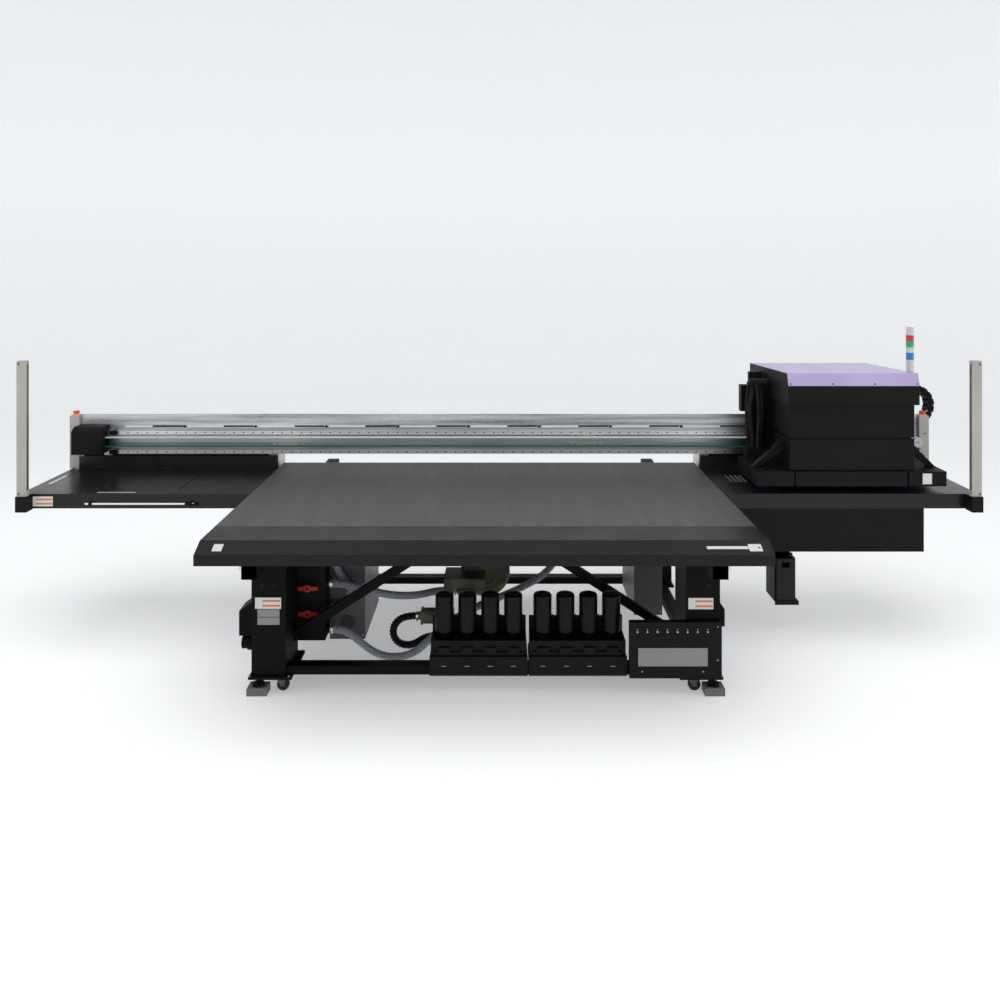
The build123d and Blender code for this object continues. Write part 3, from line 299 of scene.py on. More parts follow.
frame_black = painted("frame_black", (0.0035, 0.0035, 0.0038), 0.55, 0.08, 0.12)
cover_black = painted("cover_black", (0.005, 0.005, 0.0055), 0.5, 0.12, 0.12)
wing_black = painted("wing_black", (0.005, 0.005, 0.0055), 0.3, 0.32, 0.12)
table_paint = painted("table_paint", (0.0045, 0.0045, 0.0047), 0.4, 0.22, 0.2)
light_grey = painted("light_grey", (0.36, 0.345, 0.325), 0.55, 0.2, 0.1)
pad_grey = painted("pad_grey", (0.13, 0.13, 0.135), 0.6, 0.2, 0.2)
lilac = painted("lilac", (0.345, 0.285, 0.50), 0.3, 0.8, 0.1)
cabinet_grey = painted("cabinet_grey", (0.075, 0.077, 0.082), 0.42, 0.3, 0.2)
table_top = anodised_table()
zinc_sheet = galvanised()
guide_steel = ground_steel()
beam_metal = ground_steel("beam_metal", (0.52, 0.55, 0.56))
zinc_steel = ground_steel("zinc_steel", (0.42, 0.42, 0.41), (1.0, 1.0, 1.0))
fork_zinc = ground_steel("fork_zinc", (0.13, 0.125, 0.115), (1.0, 1.0, 1.0))
arm_metal = ground_steel("arm_metal", (0.72, 0.68, 0.62), (1.0, 1.0, 0.05))
bottle_plastic = moulded("bottle_plastic", (0.002, 0.002, 0.0022), 0.34, 0.16)
chain_plastic = moulded("chain_plastic", (0.003, 0.003, 0.003), 0.5, 0.1)
valve_plastic = moulded("valve_plastic", (0.005, 0.005, 0.0055), 0.5, 0.12)
tank_plastic = moulded("tank_plastic", (0.009, 0.009, 0.0095), 0.45, 0.2)
lever_red = moulded("lever_red", (0.38, 0.010, 0.008), 0.4, 0.4)
button_red = moulded("button_red", (0.62, 0.03, 0.012), 0.3, 0.5, 0.5)
plinth_yellow = moulded("plinth_yellow", (0.85, 0.33, 0.015), 0.4)
hose_grey = moulded("hose_grey", (0.27, 0.28, 0.315), 0.42, 0.5)
hose_black = rubber("hose_black", (0.005, 0.005, 0.005))
wheel_rubber = rubber("wheel_rubber", (0.014, 0.014, 0.014))
seam_black = rubber("seam_black", (0.002, 0.002, 0.002))
belt = toothed_belt()
casting = cast_iron()
label_white = label_stock("label_white", (0.66, 0.66, 0.64))
label_orange = label_stock("label_orange", (0.62, 0.20, 0.03))
label_grey = label_stock("label_grey", (0.24, 0.24, 0.245))
tape_white = label_stock("tape_white", (0.80, 0.82, 0.81))

finish_of = {
    "frame_black": "base_frame vacuum_chamber rail_beams leg_boxes head_frame levelling_feet",
    "cover_black": "drive_cover maintenance_housing curtain_brackets carriage_plate front_cowls upper_cowl "
                   "skirt ink_racks ink_panel",
    "wing_black": "left_wing right_wing",
    "table_anodised": "table_plate",
    "table_paint": "table_cover",
    "light_grey": "end_covers curtain_posts",
    "pad_grey": "floor_pads",
    "lilac": "lid_cover",
    "cabinet_grey": "cabinets",
    "galvanised": "chain_trough",
    "ground_steel": "bridge_guides beam_guides",
    "beam_metal": "beam drive_pulley idler_pulley uv_lamps",
    "arm_metal": "bridge_arms",
    "fork_zinc": "caster_fork_front_left caster_fork_front_right caster_fork_rear_left "
                 "caster_fork_rear_right",
    "wheel_rubber": "caster_wheel_front_left caster_wheel_front_right caster_wheel_rear_left "
                    "caster_wheel_rear_right cap_station",
    "valve_plastic": "valve_box",
    "lever_red": "valve_lever_upper valve_lever_lower",
    "button_red": "stop_button_left stop_button_right",
    "tank_plastic": "waste_tank",
    "hose_black": "carriage_hoses",
    "toothed_belt": "drive_belt",
    "painted_casting": "blower",
}
for finish_name, node_names in finish_of.items():
    for node_name in node_names.split():
        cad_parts[node_name].data.materials.clear()
        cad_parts[node_name].data.materials.append(finishes[finish_name])


# ---------------------------------------------------------------- shaping

def add_box(shape, low, high, bevel=0.0, turn=Matrix.Identity(4)):
    """Box between two corners, its edges rounded, turned or moved by a matrix."""
    low, high = Vector(low), Vector(high)
    matrix = turn @ Matrix.Translation((low + high) / 2) @ Matrix.Diagonal((*(high - low), 1.0))
    made = bmesh.ops.create_cube(shape, size=1.0, matrix=matrix)["verts"]
    if bevel:
        edges = list({edge for vert in made for edge in vert.link_edges})
        bmesh.ops.bevel(shape, geom=edges, offset=bevel, segments=2, profile=0.5, affect="EDGES", material=-1)


def add_bar(shape, start, end, radius, end_radius=None, sides=20):
    """Round bar or cone between two points."""
    start, end = Vector(start), Vector(end)
    along = end - start
    turn = along.to_track_quat("Z", "Y").to_matrix().to_4x4()
    bmesh.ops.create_cone(shape, cap_ends=True, segments=sides, radius1=radius,
                          radius2=radius if end_radius is None else end_radius, depth=along.length,
                          matrix=Matrix.Translation((start + end) / 2) @ turn)


def add_turned(shape, centre, profile, axis=(0, 0, 1), sides=32):
    """Profile of (radius, height) points spun about an axis through the centre."""
    centre = Vector(centre)
    turn = Vector(axis).to_track_quat("Z", "Y").to_matrix()
    spots = [shape.verts.new(centre + turn @ Vector((radius, 0, height))) for radius, height in profile]
    edges = [shape.edges.new(pair) for pair in zip(spots, spots[1:])]
    made = bmesh.ops.spin(shape, geom=spots + edges, cent=centre, axis=turn @ Vector((0, 0, 1)),
                          angle=2 * math.pi, steps=sides, use_merge=True)
    bmesh.ops.remove_doubles(shape, verts=shape.verts, dist=0.01 * MM)
    return made


def piece(name, body, material, shape, smooth=False):
    """Turns a finished shape into a named piece on a CAD body."""
    bmesh.ops.recalc_face_normals(shape, faces=shape.faces)
    mesh = bpy.data.meshes.new(name)
    shape.to_mesh(mesh)
    shape.free()
    mesh.materials.append(material)
    made = bpy.data.objects.new(name, mesh)
    bpy.context.scene.collection.objects.link(made)
    if smooth:
        mesh.shade_smooth()
        mesh.set_sharp_from_angle(angle=math.radians(35))
    if body:
        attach(made, body)
    return made


def screws(name, body, spots, axis, radius=4 * MM, height=2 * MM, material=None):
    """Small pan-head screws standing on a face."""
    shape = bmesh.new()
    along = Vector(axis)
    for spot in spots:
        spot = Vector(spot)
        add_bar(shape, spot, spot + along * height * 0.6, radius, sides=10)
        add_bar(shape, spot + along * height * 0.6, spot + along * height, radius, radius * 0.6, sides=10)
    return piece(name, body, material or seam_black, shape)


def strips(name, body, material, boxes, bevel=0.0):
    """Thin boxes, such as seams, labels and tapes."""
    shape = bmesh.new()
    for low, high in boxes:
        add_box(shape, low, high, bevel)
    return piece(name, body, material, shape)


def lay(first, last, count):
    """Evenly spaced numbers from first to last."""
    return [first + (last - first) * n / (count - 1) for n in range(count)]


# ---------------------------------------------------------------- hoses

def spline(name, route, resolution=16):
    """The route as one smooth open curve."""
    data = bpy.data.curves.new(name, "CURVE")
    data.dimensions = "3D"
    line = data.splines.new("NURBS")
    line.points.add(len(route) - 1)
    for point, place in zip(line.points, route):
        point.co = (*place, 1.0)
    line.order_u = 3
    line.use_endpoint_u = True
    line.resolution_u = resolution
    return bpy.data.objects.new(name, data)


def even_points(route, step):
    """Points a step apart along the route's smooth curve."""
    curve = spline("route_line", route)
    bpy.context.scene.collection.objects.link(curve)
    graph = bpy.context.evaluated_depsgraph_get()
    line = bpy.data.meshes.new_from_object(curve.evaluated_get(graph))
    places = [vert.co.copy() for vert in line.vertices]
    bpy.data.objects.remove(curve)
    length = sum((b - a).length for a, b in zip(places, places[1:]))
    count = max(8, round(length / step))
    even, run, index = [places[0]], 0.0, 0
    for n in range(1, count):
        target = length * n / count
        while run + (places[index + 1] - places[index]).length < target:
            run += (places[index + 1] - places[index]).length
            index += 1
        part = (target - run) / (places[index + 1] - places[index]).length
        even.append(places[index].lerp(places[index + 1], part))
    return even + [places[-1]], length


def corrugated(name, node, route, material, diameter=42 * MM, pitch=12 * MM, depth=6.5 * MM, sides=18):
    """Corrugated hose that replaces its plain CAD tube and runs from stub to stub."""
    places, length = even_points(route, pitch / 4)
    shape = bmesh.new()
    ring = bmesh.ops.create_circle(shape, cap_ends=True, segments=sides, radius=1.0)["verts"]
    edges = [edge for edge in shape.edges]
    before = Matrix.Identity(4)
    facing = Vector((0, 0, 1))
    turn = Matrix.Identity(3)
    for n, place in enumerate(places):
        ahead = (places[min(n + 1, len(places) - 1)] - places[max(n - 1, 0)]).normalized()
        turn = facing.rotation_difference(ahead).to_matrix() @ turn
        facing = ahead
        radius = diameter / 2 - depth * (0.12, 0.0, 0.12, 1.0)[n % 4]
        now = Matrix.Translation(place) @ turn.to_4x4() @ Matrix.Diagonal((radius, radius, 1.0, 1.0))
        if n:
            made = bmesh.ops.extrude_edge_only(shape, edges=edges)["geom"]
            ring = [part for part in made if isinstance(part, bmesh.types.BMVert)]
            edges = [part for part in made if isinstance(part, bmesh.types.BMEdge)]
        bmesh.ops.transform(shape, matrix=now @ before.inverted(), verts=ring)
        before = now
    bmesh.ops.contextual_create(shape, geom=edges)
    hose = piece(name, "base", material, shape, smooth=True)
    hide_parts(node)
    return hose


def metres(points):
    return [tuple(value * MM for value in point) for point in points]


upper_route = metres([(-941, -396, 437), (-860, -396, 437), (-735, -374, 390), (-606, -310, 338),
                      (-480, -215, 304), (-370, -120, 300), (-268, -120, 300)])
return_route = metres([(-941, -338, 292), (-880, -338, 292), (-838, -338, 334), (-842, -338, 404),
                       (-892, -338, 460), (-925, -338, 536), (-930, -338, 640), (-930, -338, 755)])
long_route = metres([(-941, -375, 184), (-865, -375, 184), (-778, -394, 124), (-695, -405, 66),
                     (-592, -410, 44), (-484, -405, 66), (-398, -396, 142), (-310, -365, 212),
                     (-170, -278, 262), (10, -195, 302), (190, -145, 368), (300, -120, 470),
                     (338, -110, 605), (338, -110, 755)])
black_route = metres([(-470, -265, 212), (-540, -265, 212), (-602, -272, 182), (-620, -280, 118),
                      (-580, -288, 64), (-500, -296, 62), (-425, -300, 118), (-345, -300, 118)])
corrugated("upper_hose", "vacuum_hose_upper", upper_route, hose_grey)
corrugated("return_hose", "vacuum_hose_return", return_route, hose_grey)
corrugated("long_hose", "vacuum_hose_long", long_route, hose_grey)
corrugated("black_hose", "blower_hose", black_route, hose_black, pitch=14 * MM)


def hose_clamps():
    """Worm-drive clamp round each hose where it goes onto its stub."""
    shape = bmesh.new()
    radius = 23.5 * MM
    for route in (upper_route, return_route, long_route, black_route):
        for here, beyond in ((route[0], route[1]), (route[-1], route[-2])):
            here, beyond = Vector(here), Vector(beyond)
            along = (beyond - here).normalized()
            start = here + along * 6 * MM
            add_bar(shape, start, start + along * 12 * MM, radius, sides=28)
            side = along.orthogonal().normalized()
            middle = start + along * 6 * MM + side * (radius + 3 * MM)
            across = along.cross(side)
            add_bar(shape, middle - across * 9 * MM, middle + across * 9 * MM, 5 * MM, sides=12)
    return piece("hose_clamps", "base", guide_steel, shape, smooth=True)


hose_clamps()


# ---------------------------------------------------------------- ink supply

def bottle(shape, centre_x, centre_y, neck_z, shoulder_z, top_z):
    """Upturned bottle: crimped cap, ribbed collar, shoulder, body with a rounded base on top."""
    body = 46.5 * MM
    round_off = 10 * MM
    profile = [(0, neck_z), (15 * MM, neck_z), (15 * MM, neck_z + 6 * MM), (17 * MM, neck_z + 8 * MM),
               (17 * MM, shoulder_z - 24 * MM), (24 * MM, shoulder_z - 22 * MM),
               (24 * MM, shoulder_z - 14 * MM), (19 * MM, shoulder_z - 12 * MM),
               (28 * MM, shoulder_z - 4 * MM), (42 * MM, shoulder_z + 6 * MM),
               (body - 0.6 * MM, shoulder_z + 14 * MM), (body, shoulder_z + 24 * MM),
               (body, top_z - 34 * MM), (body - 1 * MM, top_z - 33 * MM), (body - 1 * MM, top_z - 31 * MM),
               (body, top_z - 30 * MM), (body, top_z - round_off)]
    for n in range(1, 6):
        angle = n * math.pi / 10
        profile.append((body - round_off + round_off * math.cos(angle),
                        top_z - round_off + round_off * math.sin(angle)))
    profile += [(20 * MM, top_z - 0.5 * MM), (18 * MM, top_z - 3 * MM), (0, top_z - 3 * MM)]
    add_turned(shape, (centre_x, centre_y, 0), profile, sides=36)


def bottles_of(side):
    """The rack's four bottles, with a chip tag on each."""
    node = f"ink_bottles_{side}"
    low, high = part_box(node)
    width = high.y - low.y
    first, last = low.x + width / 2, high.x - width / 2
    y = (low.y + high.y) / 2
    shape = bmesh.new()
    tags = bmesh.new()
    for x in lay(first, last, 4):
        bottle(shape, x, y, low.z, low.z + 46 * MM, high.z)
        add_box(tags, (x + 44 * MM, y - 8 * MM, high.z - 120 * MM),
                (x + 56 * MM, y + 8 * MM, high.z - 108 * MM), 3 * MM)
        for turn in range(8):
            angle = turn * math.pi / 4
            spot = Vector((x + 27 * MM * math.cos(angle), y + 27 * MM * math.sin(angle), low.z + 27 * MM))
            add_box(tags, spot - Vector((3, 3, 5)) * MM, spot + Vector((3, 3, 5)) * MM, 1 * MM)
    made = piece(f"bottles_{side}", node, bottle_plastic, shape, smooth=True)
    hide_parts(node)
    piece(f"bottle_tags_{side}", node, valve_plastic, tags)


bottles_of("left")
bottles_of("right")
rack_low, rack_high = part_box("ink_racks")
rack_half = (rack_high.x - rack_low.x) / 2


def striped_label(name, body, low, high):
    """Blank white label in the XZ plane with two orange bands."""
    width, height = high[0] - low[0], high[2] - low[2]
    strips(name, body, label_white, [(low, high)])
    bands = []
    for share in (0.18, 0.62):
        bands.append(((low[0] + 0.28 * width, low[1] - 0.5 * PROUD, low[2] + share * height),
                      (high[0] - 0.03 * width, low[1], low[2] + (share + 0.17) * height)))
    strips(f"{name}_bands", body, label_orange, bands)


def rack_details():
    """Sockets, edge lips and the small window slots of the ink racks."""
    sockets, marks, lips = bmesh.new(), [], bmesh.new()
    for side in ("left", "right"):
        low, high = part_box(f"ink_bottles_{side}")
        width = high.y - low.y
        y = (low.y + high.y) / 2
        for x in lay(low.x + width / 2, high.x - width / 2, 4):
            top = low.z + 24 * MM
            add_turned(sockets, (x, y, 0), [(19 * MM, top), (38 * MM, top), (41 * MM, top - 6 * MM),
                                            (41 * MM, top - 14 * MM), (19 * MM, top - 14 * MM),
                                            (19 * MM, top)])
            add_box(sockets, (x - 30 * MM, rack_low.y + 3 * MM, top - 62 * MM),
                    (x + 30 * MM, rack_low.y + 16 * MM, top - 30 * MM), 3 * MM)
            marks.append(((x - 12 * MM, rack_low.y - PROUD, rack_low.z + 46 * MM),
                          (x + 12 * MM, rack_low.y + PROUD, rack_low.z + 50 * MM)))
    for index in range(2):
        start = rack_low.x + index * rack_half
        add_box(lips, (start + 2 * MM, rack_low.y - 2 * MM, rack_low.z + 88 * MM),
                (start + rack_half - 2 * MM, rack_low.y + 12 * MM, rack_low.z + 96 * MM), 1.5 * MM)
        add_box(lips, (start + 24 * MM, rack_low.y + 4 * MM, rack_low.z + 102 * MM),
                (start + rack_half - 24 * MM, rack_low.y + 14 * MM, rack_low.z + 116 * MM), 2 * MM)
    piece("bottle_sockets", "base", valve_plastic, sockets, smooth=True)
    piece("rack_lips", "base", cover_black, lips)
    strips("rack_slots", "base", label_grey, marks)


rack_details()


def panel_details():
    """Eight indicator lamps, a blank instruction label and screws on the ink panel."""
    low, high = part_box("ink_panel")
    y = low.y
    lamps = bmesh.new()
    for x in lay(low.x + 38 * MM, high.x - 70 * MM, 8):
        add_bar(lamps, (x, y + PROUD, high.z - 47 * MM), (x, y - 2 * MM, high.z - 47 * MM), 4 * MM, sides=14)
        add_bar(lamps, (x, y + PROUD, high.z - 35 * MM), (x, y - 1 * MM, high.z - 35 * MM), 2 * MM, sides=10)
    piece("panel_lamps", "base", lens("lamp_yellow", (0.75, 0.72, 0.30), 0.02), lamps)
    strips("panel_label", "base", label_grey,
           [((low.x + 42 * MM, y - PROUD, low.z + 60 * MM), (high.x - 70 * MM, y + PROUD, low.z + 150 * MM))])
    spots = [(low.x + 62 * MM, y, low.z + 34 * MM), (high.x - 92 * MM, y, low.z + 34 * MM),
             (high.x - 20 * MM, y, high.z - 22 * MM), (high.x - 20 * MM, y, low.z + 90 * MM)]
    screws("panel_screws", "base", spots, (0, -1, 0), material=zinc_steel)


panel_details()


# ---------------------------------------------------------------- base details

leg_low, leg_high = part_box("base_frame")
table_low, table_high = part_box("table_cover")
middle_x = (table_low.x + table_high.x) / 2
leg_front = leg_low.y + 20 * MM
leg_outer = (leg_high.x - leg_low.x) / 2 - 12 * MM


def leg_details():
    """Blank labels, plugs and base-plate bolts on the legs."""
    left = middle_x - leg_outer
    right = middle_x + leg_outer
    striped_label("left_leg_label", "base", (left + 18 * MM, leg_front - PROUD, 430 * MM),
                  (left + 148 * MM, leg_front + PROUD, 486 * MM))
    striped_label("right_leg_label", "base", (right - 158 * MM, leg_front - PROUD, 428 * MM),
                  (right - 34 * MM, leg_front + PROUD, 484 * MM))
    strips("leg_plates", "base", label_grey, [
        ((left + 30 * MM, leg_front - PROUD, 350 * MM), (left + 140 * MM, leg_front + PROUD, 387 * MM)),
        ((left + 30 * MM, leg_front - PROUD, 390 * MM), (left + 140 * MM, leg_front + PROUD, 427 * MM))])
    plugs = [(left + x * MM, leg_front, 548 * MM) for x in (55, 115)]
    plugs.append((right - 55 * MM, leg_front, 548 * MM))
    screws("leg_plugs", "base", plugs, (0, -1, 0), 10 * MM, 3 * MM)
    bolts = []
    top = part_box("levelling_feet")[1].z + 13 * MM
    for sign in (-1, 1):
        for x in (leg_outer + 5 * MM, leg_outer - 190 * MM):
            for y in (leg_front - 11 * MM, leg_front + 278 * MM):
                bolts.append((middle_x + sign * x, y, top))
    screws("base_bolts", "base", bolts, (0, 0, 1), 7 * MM, 7 * MM, zinc_steel)


leg_details()


def table_details():
    """Screw heads, corner labels and the dark joint line at the front of the table."""
    plate_low, plate_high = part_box("table_plate")
    seam_y = plate_low.y
    top = plate_high.z
    strips("table_seam", "base", seam_black,
           [((table_low.x + 4 * MM, seam_y - 1 * MM, top - 1 * MM),
             (table_high.x - 4 * MM, seam_y + 1 * MM, top + 0.3 * MM))])
    slope_y = table_low.y + 45 * MM
    spots = [(x, slope_y, top - 20.5 * MM) for x in lay(table_low.x + 60 * MM, table_high.x - 60 * MM, 7)]
    screws("slope_screws", "base", spots, (0, -0.41, 0.91), 5 * MM, 1.5 * MM)
    side = []
    for x, sign in ((table_low.x, -1), (table_high.x, 1)):
        for y in lay(table_low.y + 160 * MM, table_high.y - 120 * MM, 8):
            side.append(((x, y, top - 50 * MM), (sign, 0, 0)))
    for sign in (-1, 1):
        screws(f"side_screws_{'left' if sign < 0 else 'right'}", "base",
               [spot for spot, axis in side if axis[0] == sign], (sign, 0, 0), 5 * MM, 1.5 * MM)
    turn = Matrix.Rotation(math.atan2(41, 90), 4, "X")
    for name, x, width, length in (("label_left", table_low.x + 74 * MM, 44 * MM, 46 * MM),
                                   ("label_right", table_high.x - 108 * MM, 60 * MM, 46 * MM),
                                   ("label_strip", table_high.x - 300 * MM, 190 * MM, 18 * MM)):
        shape = bmesh.new()
        add_box(shape, (0, -length / 2, -PROUD), (width, length / 2, PROUD))
        laid = Matrix.Translation((x, slope_y, top - 20.2 * MM)) @ turn
        bmesh.ops.transform(shape, matrix=laid, verts=shape.verts)
        piece(f"table_{name}", "base", label_white, shape)


table_details()


def blower_details():
    """Cooling fins, casing ribs, bolts and a terminal box on the blower."""
    low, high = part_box("blower")
    centre = Vector((-0.111, -0.08, 0.4))
    shape = bmesh.new()
    fins = 26
    for n in range(fins):
        angle = 2 * math.pi * n / fins
        out = Vector((math.cos(angle), 0, math.sin(angle)))
        across = Vector((-math.sin(angle), 0, math.cos(angle)))
        turn = Matrix.Translation(centre) @ Matrix((across, (0, 1, 0), out)).transposed().to_4x4()
        add_box(shape, (-1.5 * MM, 85 * MM, 80 * MM), (1.5 * MM, 235 * MM, 102 * MM), turn=turn)
    add_turned(shape, centre + Vector((0, 242 * MM, 0)),
               [(0, 0), (96 * MM, 0), (98 * MM, 4 * MM), (98 * MM, -30 * MM),
                (92 * MM, -34 * MM), (0, -34 * MM)],
               axis=(0, 1, 0))
    for n in range(10):
        angle = 2 * math.pi * (n + 0.5) / 10
        spot = centre + Vector((math.cos(angle) * 118 * MM, -66 * MM, math.sin(angle) * 118 * MM))
        add_bar(shape, spot, spot - Vector((0, 7 * MM, 0)), 8 * MM, sides=6)
    for radius in (60 * MM, 92 * MM):
        add_turned(shape, centre - Vector((0, 65 * MM, 0)),
                   [(radius - 5 * MM, 0), (radius - 4 * MM, -5 * MM),
                    (radius + 4 * MM, -5 * MM), (radius + 5 * MM, 0)],
                   axis=(0, 1, 0))
    add_box(shape, centre + Vector((-48, 95, 78)) * MM, centre + Vector((48, 190, 130)) * MM, 6 * MM)
    piece("blower_details", "base", casting, shape, smooth=True)


blower_details()


def cabinet_details():
    """Louvres, door screws and a fan guard on the two cabinets."""
    slots, spots = [], []
    for x0, x1, y, z0 in ((-0.958, -0.765, -0.3, 0.098), (0.735, 0.895, -0.115, 0.155)):
        for n in range(6):
            z = z0 + 0.46 + n * 0.022
            slots.append(((x0 + 0.035, y - PROUD, z), (x1 - 0.035, y + PROUD, z + 0.008)))
        spots += [(x, y, z) for x in (x0 + 0.012, x1 - 0.012) for z in (z0 + 0.02, z0 + 0.3, z0 + 0.64)]
    strips("cabinet_louvres", "base", seam_black, slots)
    screws("cabinet_screws", "base", spots, (0, -1, 0), material=zinc_steel)
    guard = bmesh.new()
    for radius in (12, 24, 36):
        centre = Vector((-0.862, -0.3025, 0.19))
        wire = [((radius - 2) * MM, 0), (radius * MM, -2 * MM), ((radius + 2) * MM, 0)]
        add_turned(guard, centre, wire, (0, 1, 0))
    piece("fan_guard", "base", seam_black, guard, smooth=True)


cabinet_details()


def caster_hubs():
    """Hub cap on each side of every caster wheel."""
    for corner in ("front_left", "front_right", "rear_left", "rear_right"):
        low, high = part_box(f"caster_wheel_{corner}")
        middle = (low + high) / 2
        shape = bmesh.new()
        for sign in (-1, 1):
            face = middle + Vector((0, sign * (high.y - low.y) / 2, 0))
            add_turned(shape, face, [(5 * MM, 0), (5 * MM, sign * 0.6 * MM),
                                     (18 * MM, sign * 0.6 * MM), (19 * MM, 0)],
                       axis=(0, 1, 0), sides=24)
        piece(f"caster_hub_{corner}", f"caster_wheel_{corner}", valve_plastic, shape, smooth=True)


caster_hubs()


# ---------------------------------------------------------------- bridge details

beam_low, beam_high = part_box("beam")
guide_low, guide_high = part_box("beam_guides")
trough_low, trough_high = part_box("chain_trough")


def guide_details():
    """Bolt holes along both guides, and the bumper at each end."""
    size = 24 * MM
    holes, bumpers, knobs = bmesh.new(), bmesh.new(), bmesh.new()
    rows = (guide_high.z - size / 2, guide_low.z + size / 2)
    count = int((guide_high.x - guide_low.x) / (60 * MM))
    for z in rows:
        for x in lay(guide_low.x + 20 * MM, guide_high.x - 20 * MM, count):
            add_bar(holes, (x, guide_low.y + PROUD, z), (x, guide_low.y - PROUD, z), 4.5 * MM, sides=10)
        for x, sign in ((guide_low.x - 42 * MM, 1), (guide_high.x + 42 * MM, -1)):
            add_box(bumpers, (x - 24 * MM, guide_low.y - 6 * MM, z - 19 * MM),
                    (x + 24 * MM, guide_high.y, z + 19 * MM), 2 * MM)
            end = x + sign * 58 * MM
            low_x, high_x = sorted((x + sign * 10 * MM, end))
            add_box(knobs, (low_x, guide_low.y - 16 * MM, z - 13 * MM),
                    (high_x, guide_low.y - 6 * MM, z + 13 * MM), 2 * MM)
    piece("guide_holes", "bridge", seam_black, holes)
    piece("guide_bumpers", "bridge", arm_metal, bumpers)
    piece("bumper_blocks", "bridge", valve_plastic, knobs)


guide_details()


def beam_face():
    """Extrusion ribs along the beam's front, its joint plates, and the screws through them."""
    y = beam_low.y
    ribs = []
    for z, height in ((beam_high.z - 34 * MM, 10 * MM), (beam_high.z - 62 * MM, 4 * MM),
                      (beam_low.z + 44 * MM, 14 * MM), (beam_low.z + 30 * MM, 3 * MM)):
        ribs.append(((beam_low.x + 190 * MM, y - 3 * MM, z), (beam_high.x - 100 * MM, y + PROUD, z + height)))
    strips("beam_ribs", "bridge", beam_metal, ribs, 0.8 * MM)
    plates, spots = [], []
    for x in (-1.46, 0.42):
        for z in (beam_high.z - 50 * MM, beam_low.z + 60 * MM):
            plates.append(((x, y - 4 * MM, z - 8 * MM), (x + 0.2, y + PROUD, z + 8 * MM)))
            spots += [(x + 0.03, y - 4 * MM, z), (x + 0.17, y - 4 * MM, z)]
    strips("joint_plates", "bridge", arm_metal, plates, 0.8 * MM)
    screws("joint_screws", "bridge", spots, (0, -1, 0), 4 * MM, 2 * MM)


beam_face()


def under_beam_shade():
    """Painted shade: a dark strip filling the gap under the beam beside the table, behind the wings' back
    sheets.
    """
    y = beam_low.y + 2 * MM
    boxes = []
    for node in ("left_wing", "right_wing"):
        low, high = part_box(node)
        boxes.append(((low.x + 60 * MM, y, high.z - 6 * MM), (high.x - 60 * MM, y + 3 * MM, beam_low.z)))
    # painted shade: a dark sheet in the gap under the beam
    strips("under_beam_shade", "bridge", seam_black, boxes)


under_beam_shade()


def trough_details():
    """Cable clips and bright cable ducts between the slots, painted shade as dark strips just behind the
    slots, and rolled top edges.
    """
    y = trough_low.y
    clips = bmesh.new()
    ducts, shade_behind_slots = [], []
    slot = trough_low.x + 454 * MM
    ducts.append(((trough_low.x + 280 * MM, y - PROUD, trough_low.z + 4 * MM),
                  (slot - 4 * MM, y, trough_low.z + 13 * MM)))
    while slot + 200 * MM < trough_high.x - 20 * MM:
        end = slot + 188 * MM
        # painted shade: a dark strip just behind each slot
        shade_behind_slots.append(((slot, y + 2 * MM, trough_low.z + 3 * MM), (end, y + 4 * MM, trough_low.z + 15 * MM)))
        add_box(clips, (end + 4 * MM, y - 7 * MM, trough_low.z + 2 * MM),
                (end + 22 * MM, y, trough_low.z + 14 * MM), 2 * MM)
        ducts.append(((end + 30 * MM, y - PROUD, trough_low.z + 4 * MM),
                      (slot + 444 * MM, y, trough_low.z + 13 * MM)))
        slot += 448 * MM
    ducts = [(low, high) for low, high in ducts if high[0] < trough_high.x - 20 * MM]
    piece("trough_clips", "bridge", valve_plastic, clips)
    strips("trough_ducts", "bridge", tape_white, ducts)
    strips("slot_shade", "bridge", seam_black, shade_behind_slots)
    rim = bmesh.new()
    for side_y, z in ((trough_low.y + 1 * MM, trough_high.z - 1 * MM),
                      (trough_high.y - 1 * MM, trough_high.z - 41 * MM)):
        add_bar(rim, (trough_low.x, side_y, z), (trough_high.x, side_y, z), 2 * MM, sides=12)
    piece("trough_rim", "bridge", zinc_sheet, rim, smooth=True)


trough_details()


def wing_details(node, seams_x):
    """Panel joints and edge lines on one wing, and the spots for its screws."""
    low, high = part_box(node)
    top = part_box("curtain_brackets")[1].z
    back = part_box("end_covers")[0].y
    name = node.split("_")[0]
    seams = [((x - 0.8 * MM, low.y + 2 * MM, top - 1 * MM), (x + 0.8 * MM, back, top + 0.3 * MM))
             for x in seams_x]
    seams += [((x - 0.8 * MM, low.y - 0.3 * MM, low.z + 2 * MM), (x + 0.8 * MM, low.y + 1 * MM, top))
              for x in seams_x]
    seams.append(((low.x + 4 * MM, low.y + 22 * MM, top - 1 * MM),
                  (high.x - 4 * MM, low.y + 23.4 * MM, top + 0.3 * MM)))
    strips(f"{name}_wing_seams", "bridge", seam_black, seams)
    spots = [(x, y, top) for x in lay(low.x + 36 * MM, high.x - 36 * MM, 6)
             for y in (low.y + 12 * MM, back - 30 * MM)]
    spots += [(x, back - 0.25, top) for x in seams_x]
    return spots


left_low, left_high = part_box("left_wing")
right_low, right_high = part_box("right_wing")
wing_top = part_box("curtain_brackets")[1].z
left_spots = wing_details("left_wing", (left_low.x + 74 * MM, left_high.x - 96 * MM, left_high.x - 60 * MM))
screws("left_wing_screws", "bridge", left_spots, (0, 0, 1), 4 * MM, 1.2 * MM)
right_spots = wing_details("right_wing", (right_low.x + 76 * MM, right_high.x - 292 * MM))
bay_x = right_low.x + 96 * MM
clear_spots = [spot for spot in right_spots if spot[0] < bay_x or spot[0] > right_high.x - 300 * MM]
screws("right_wing_screws", "bridge", clear_spots, (0, 0, 1), 4 * MM, 1.2 * MM)


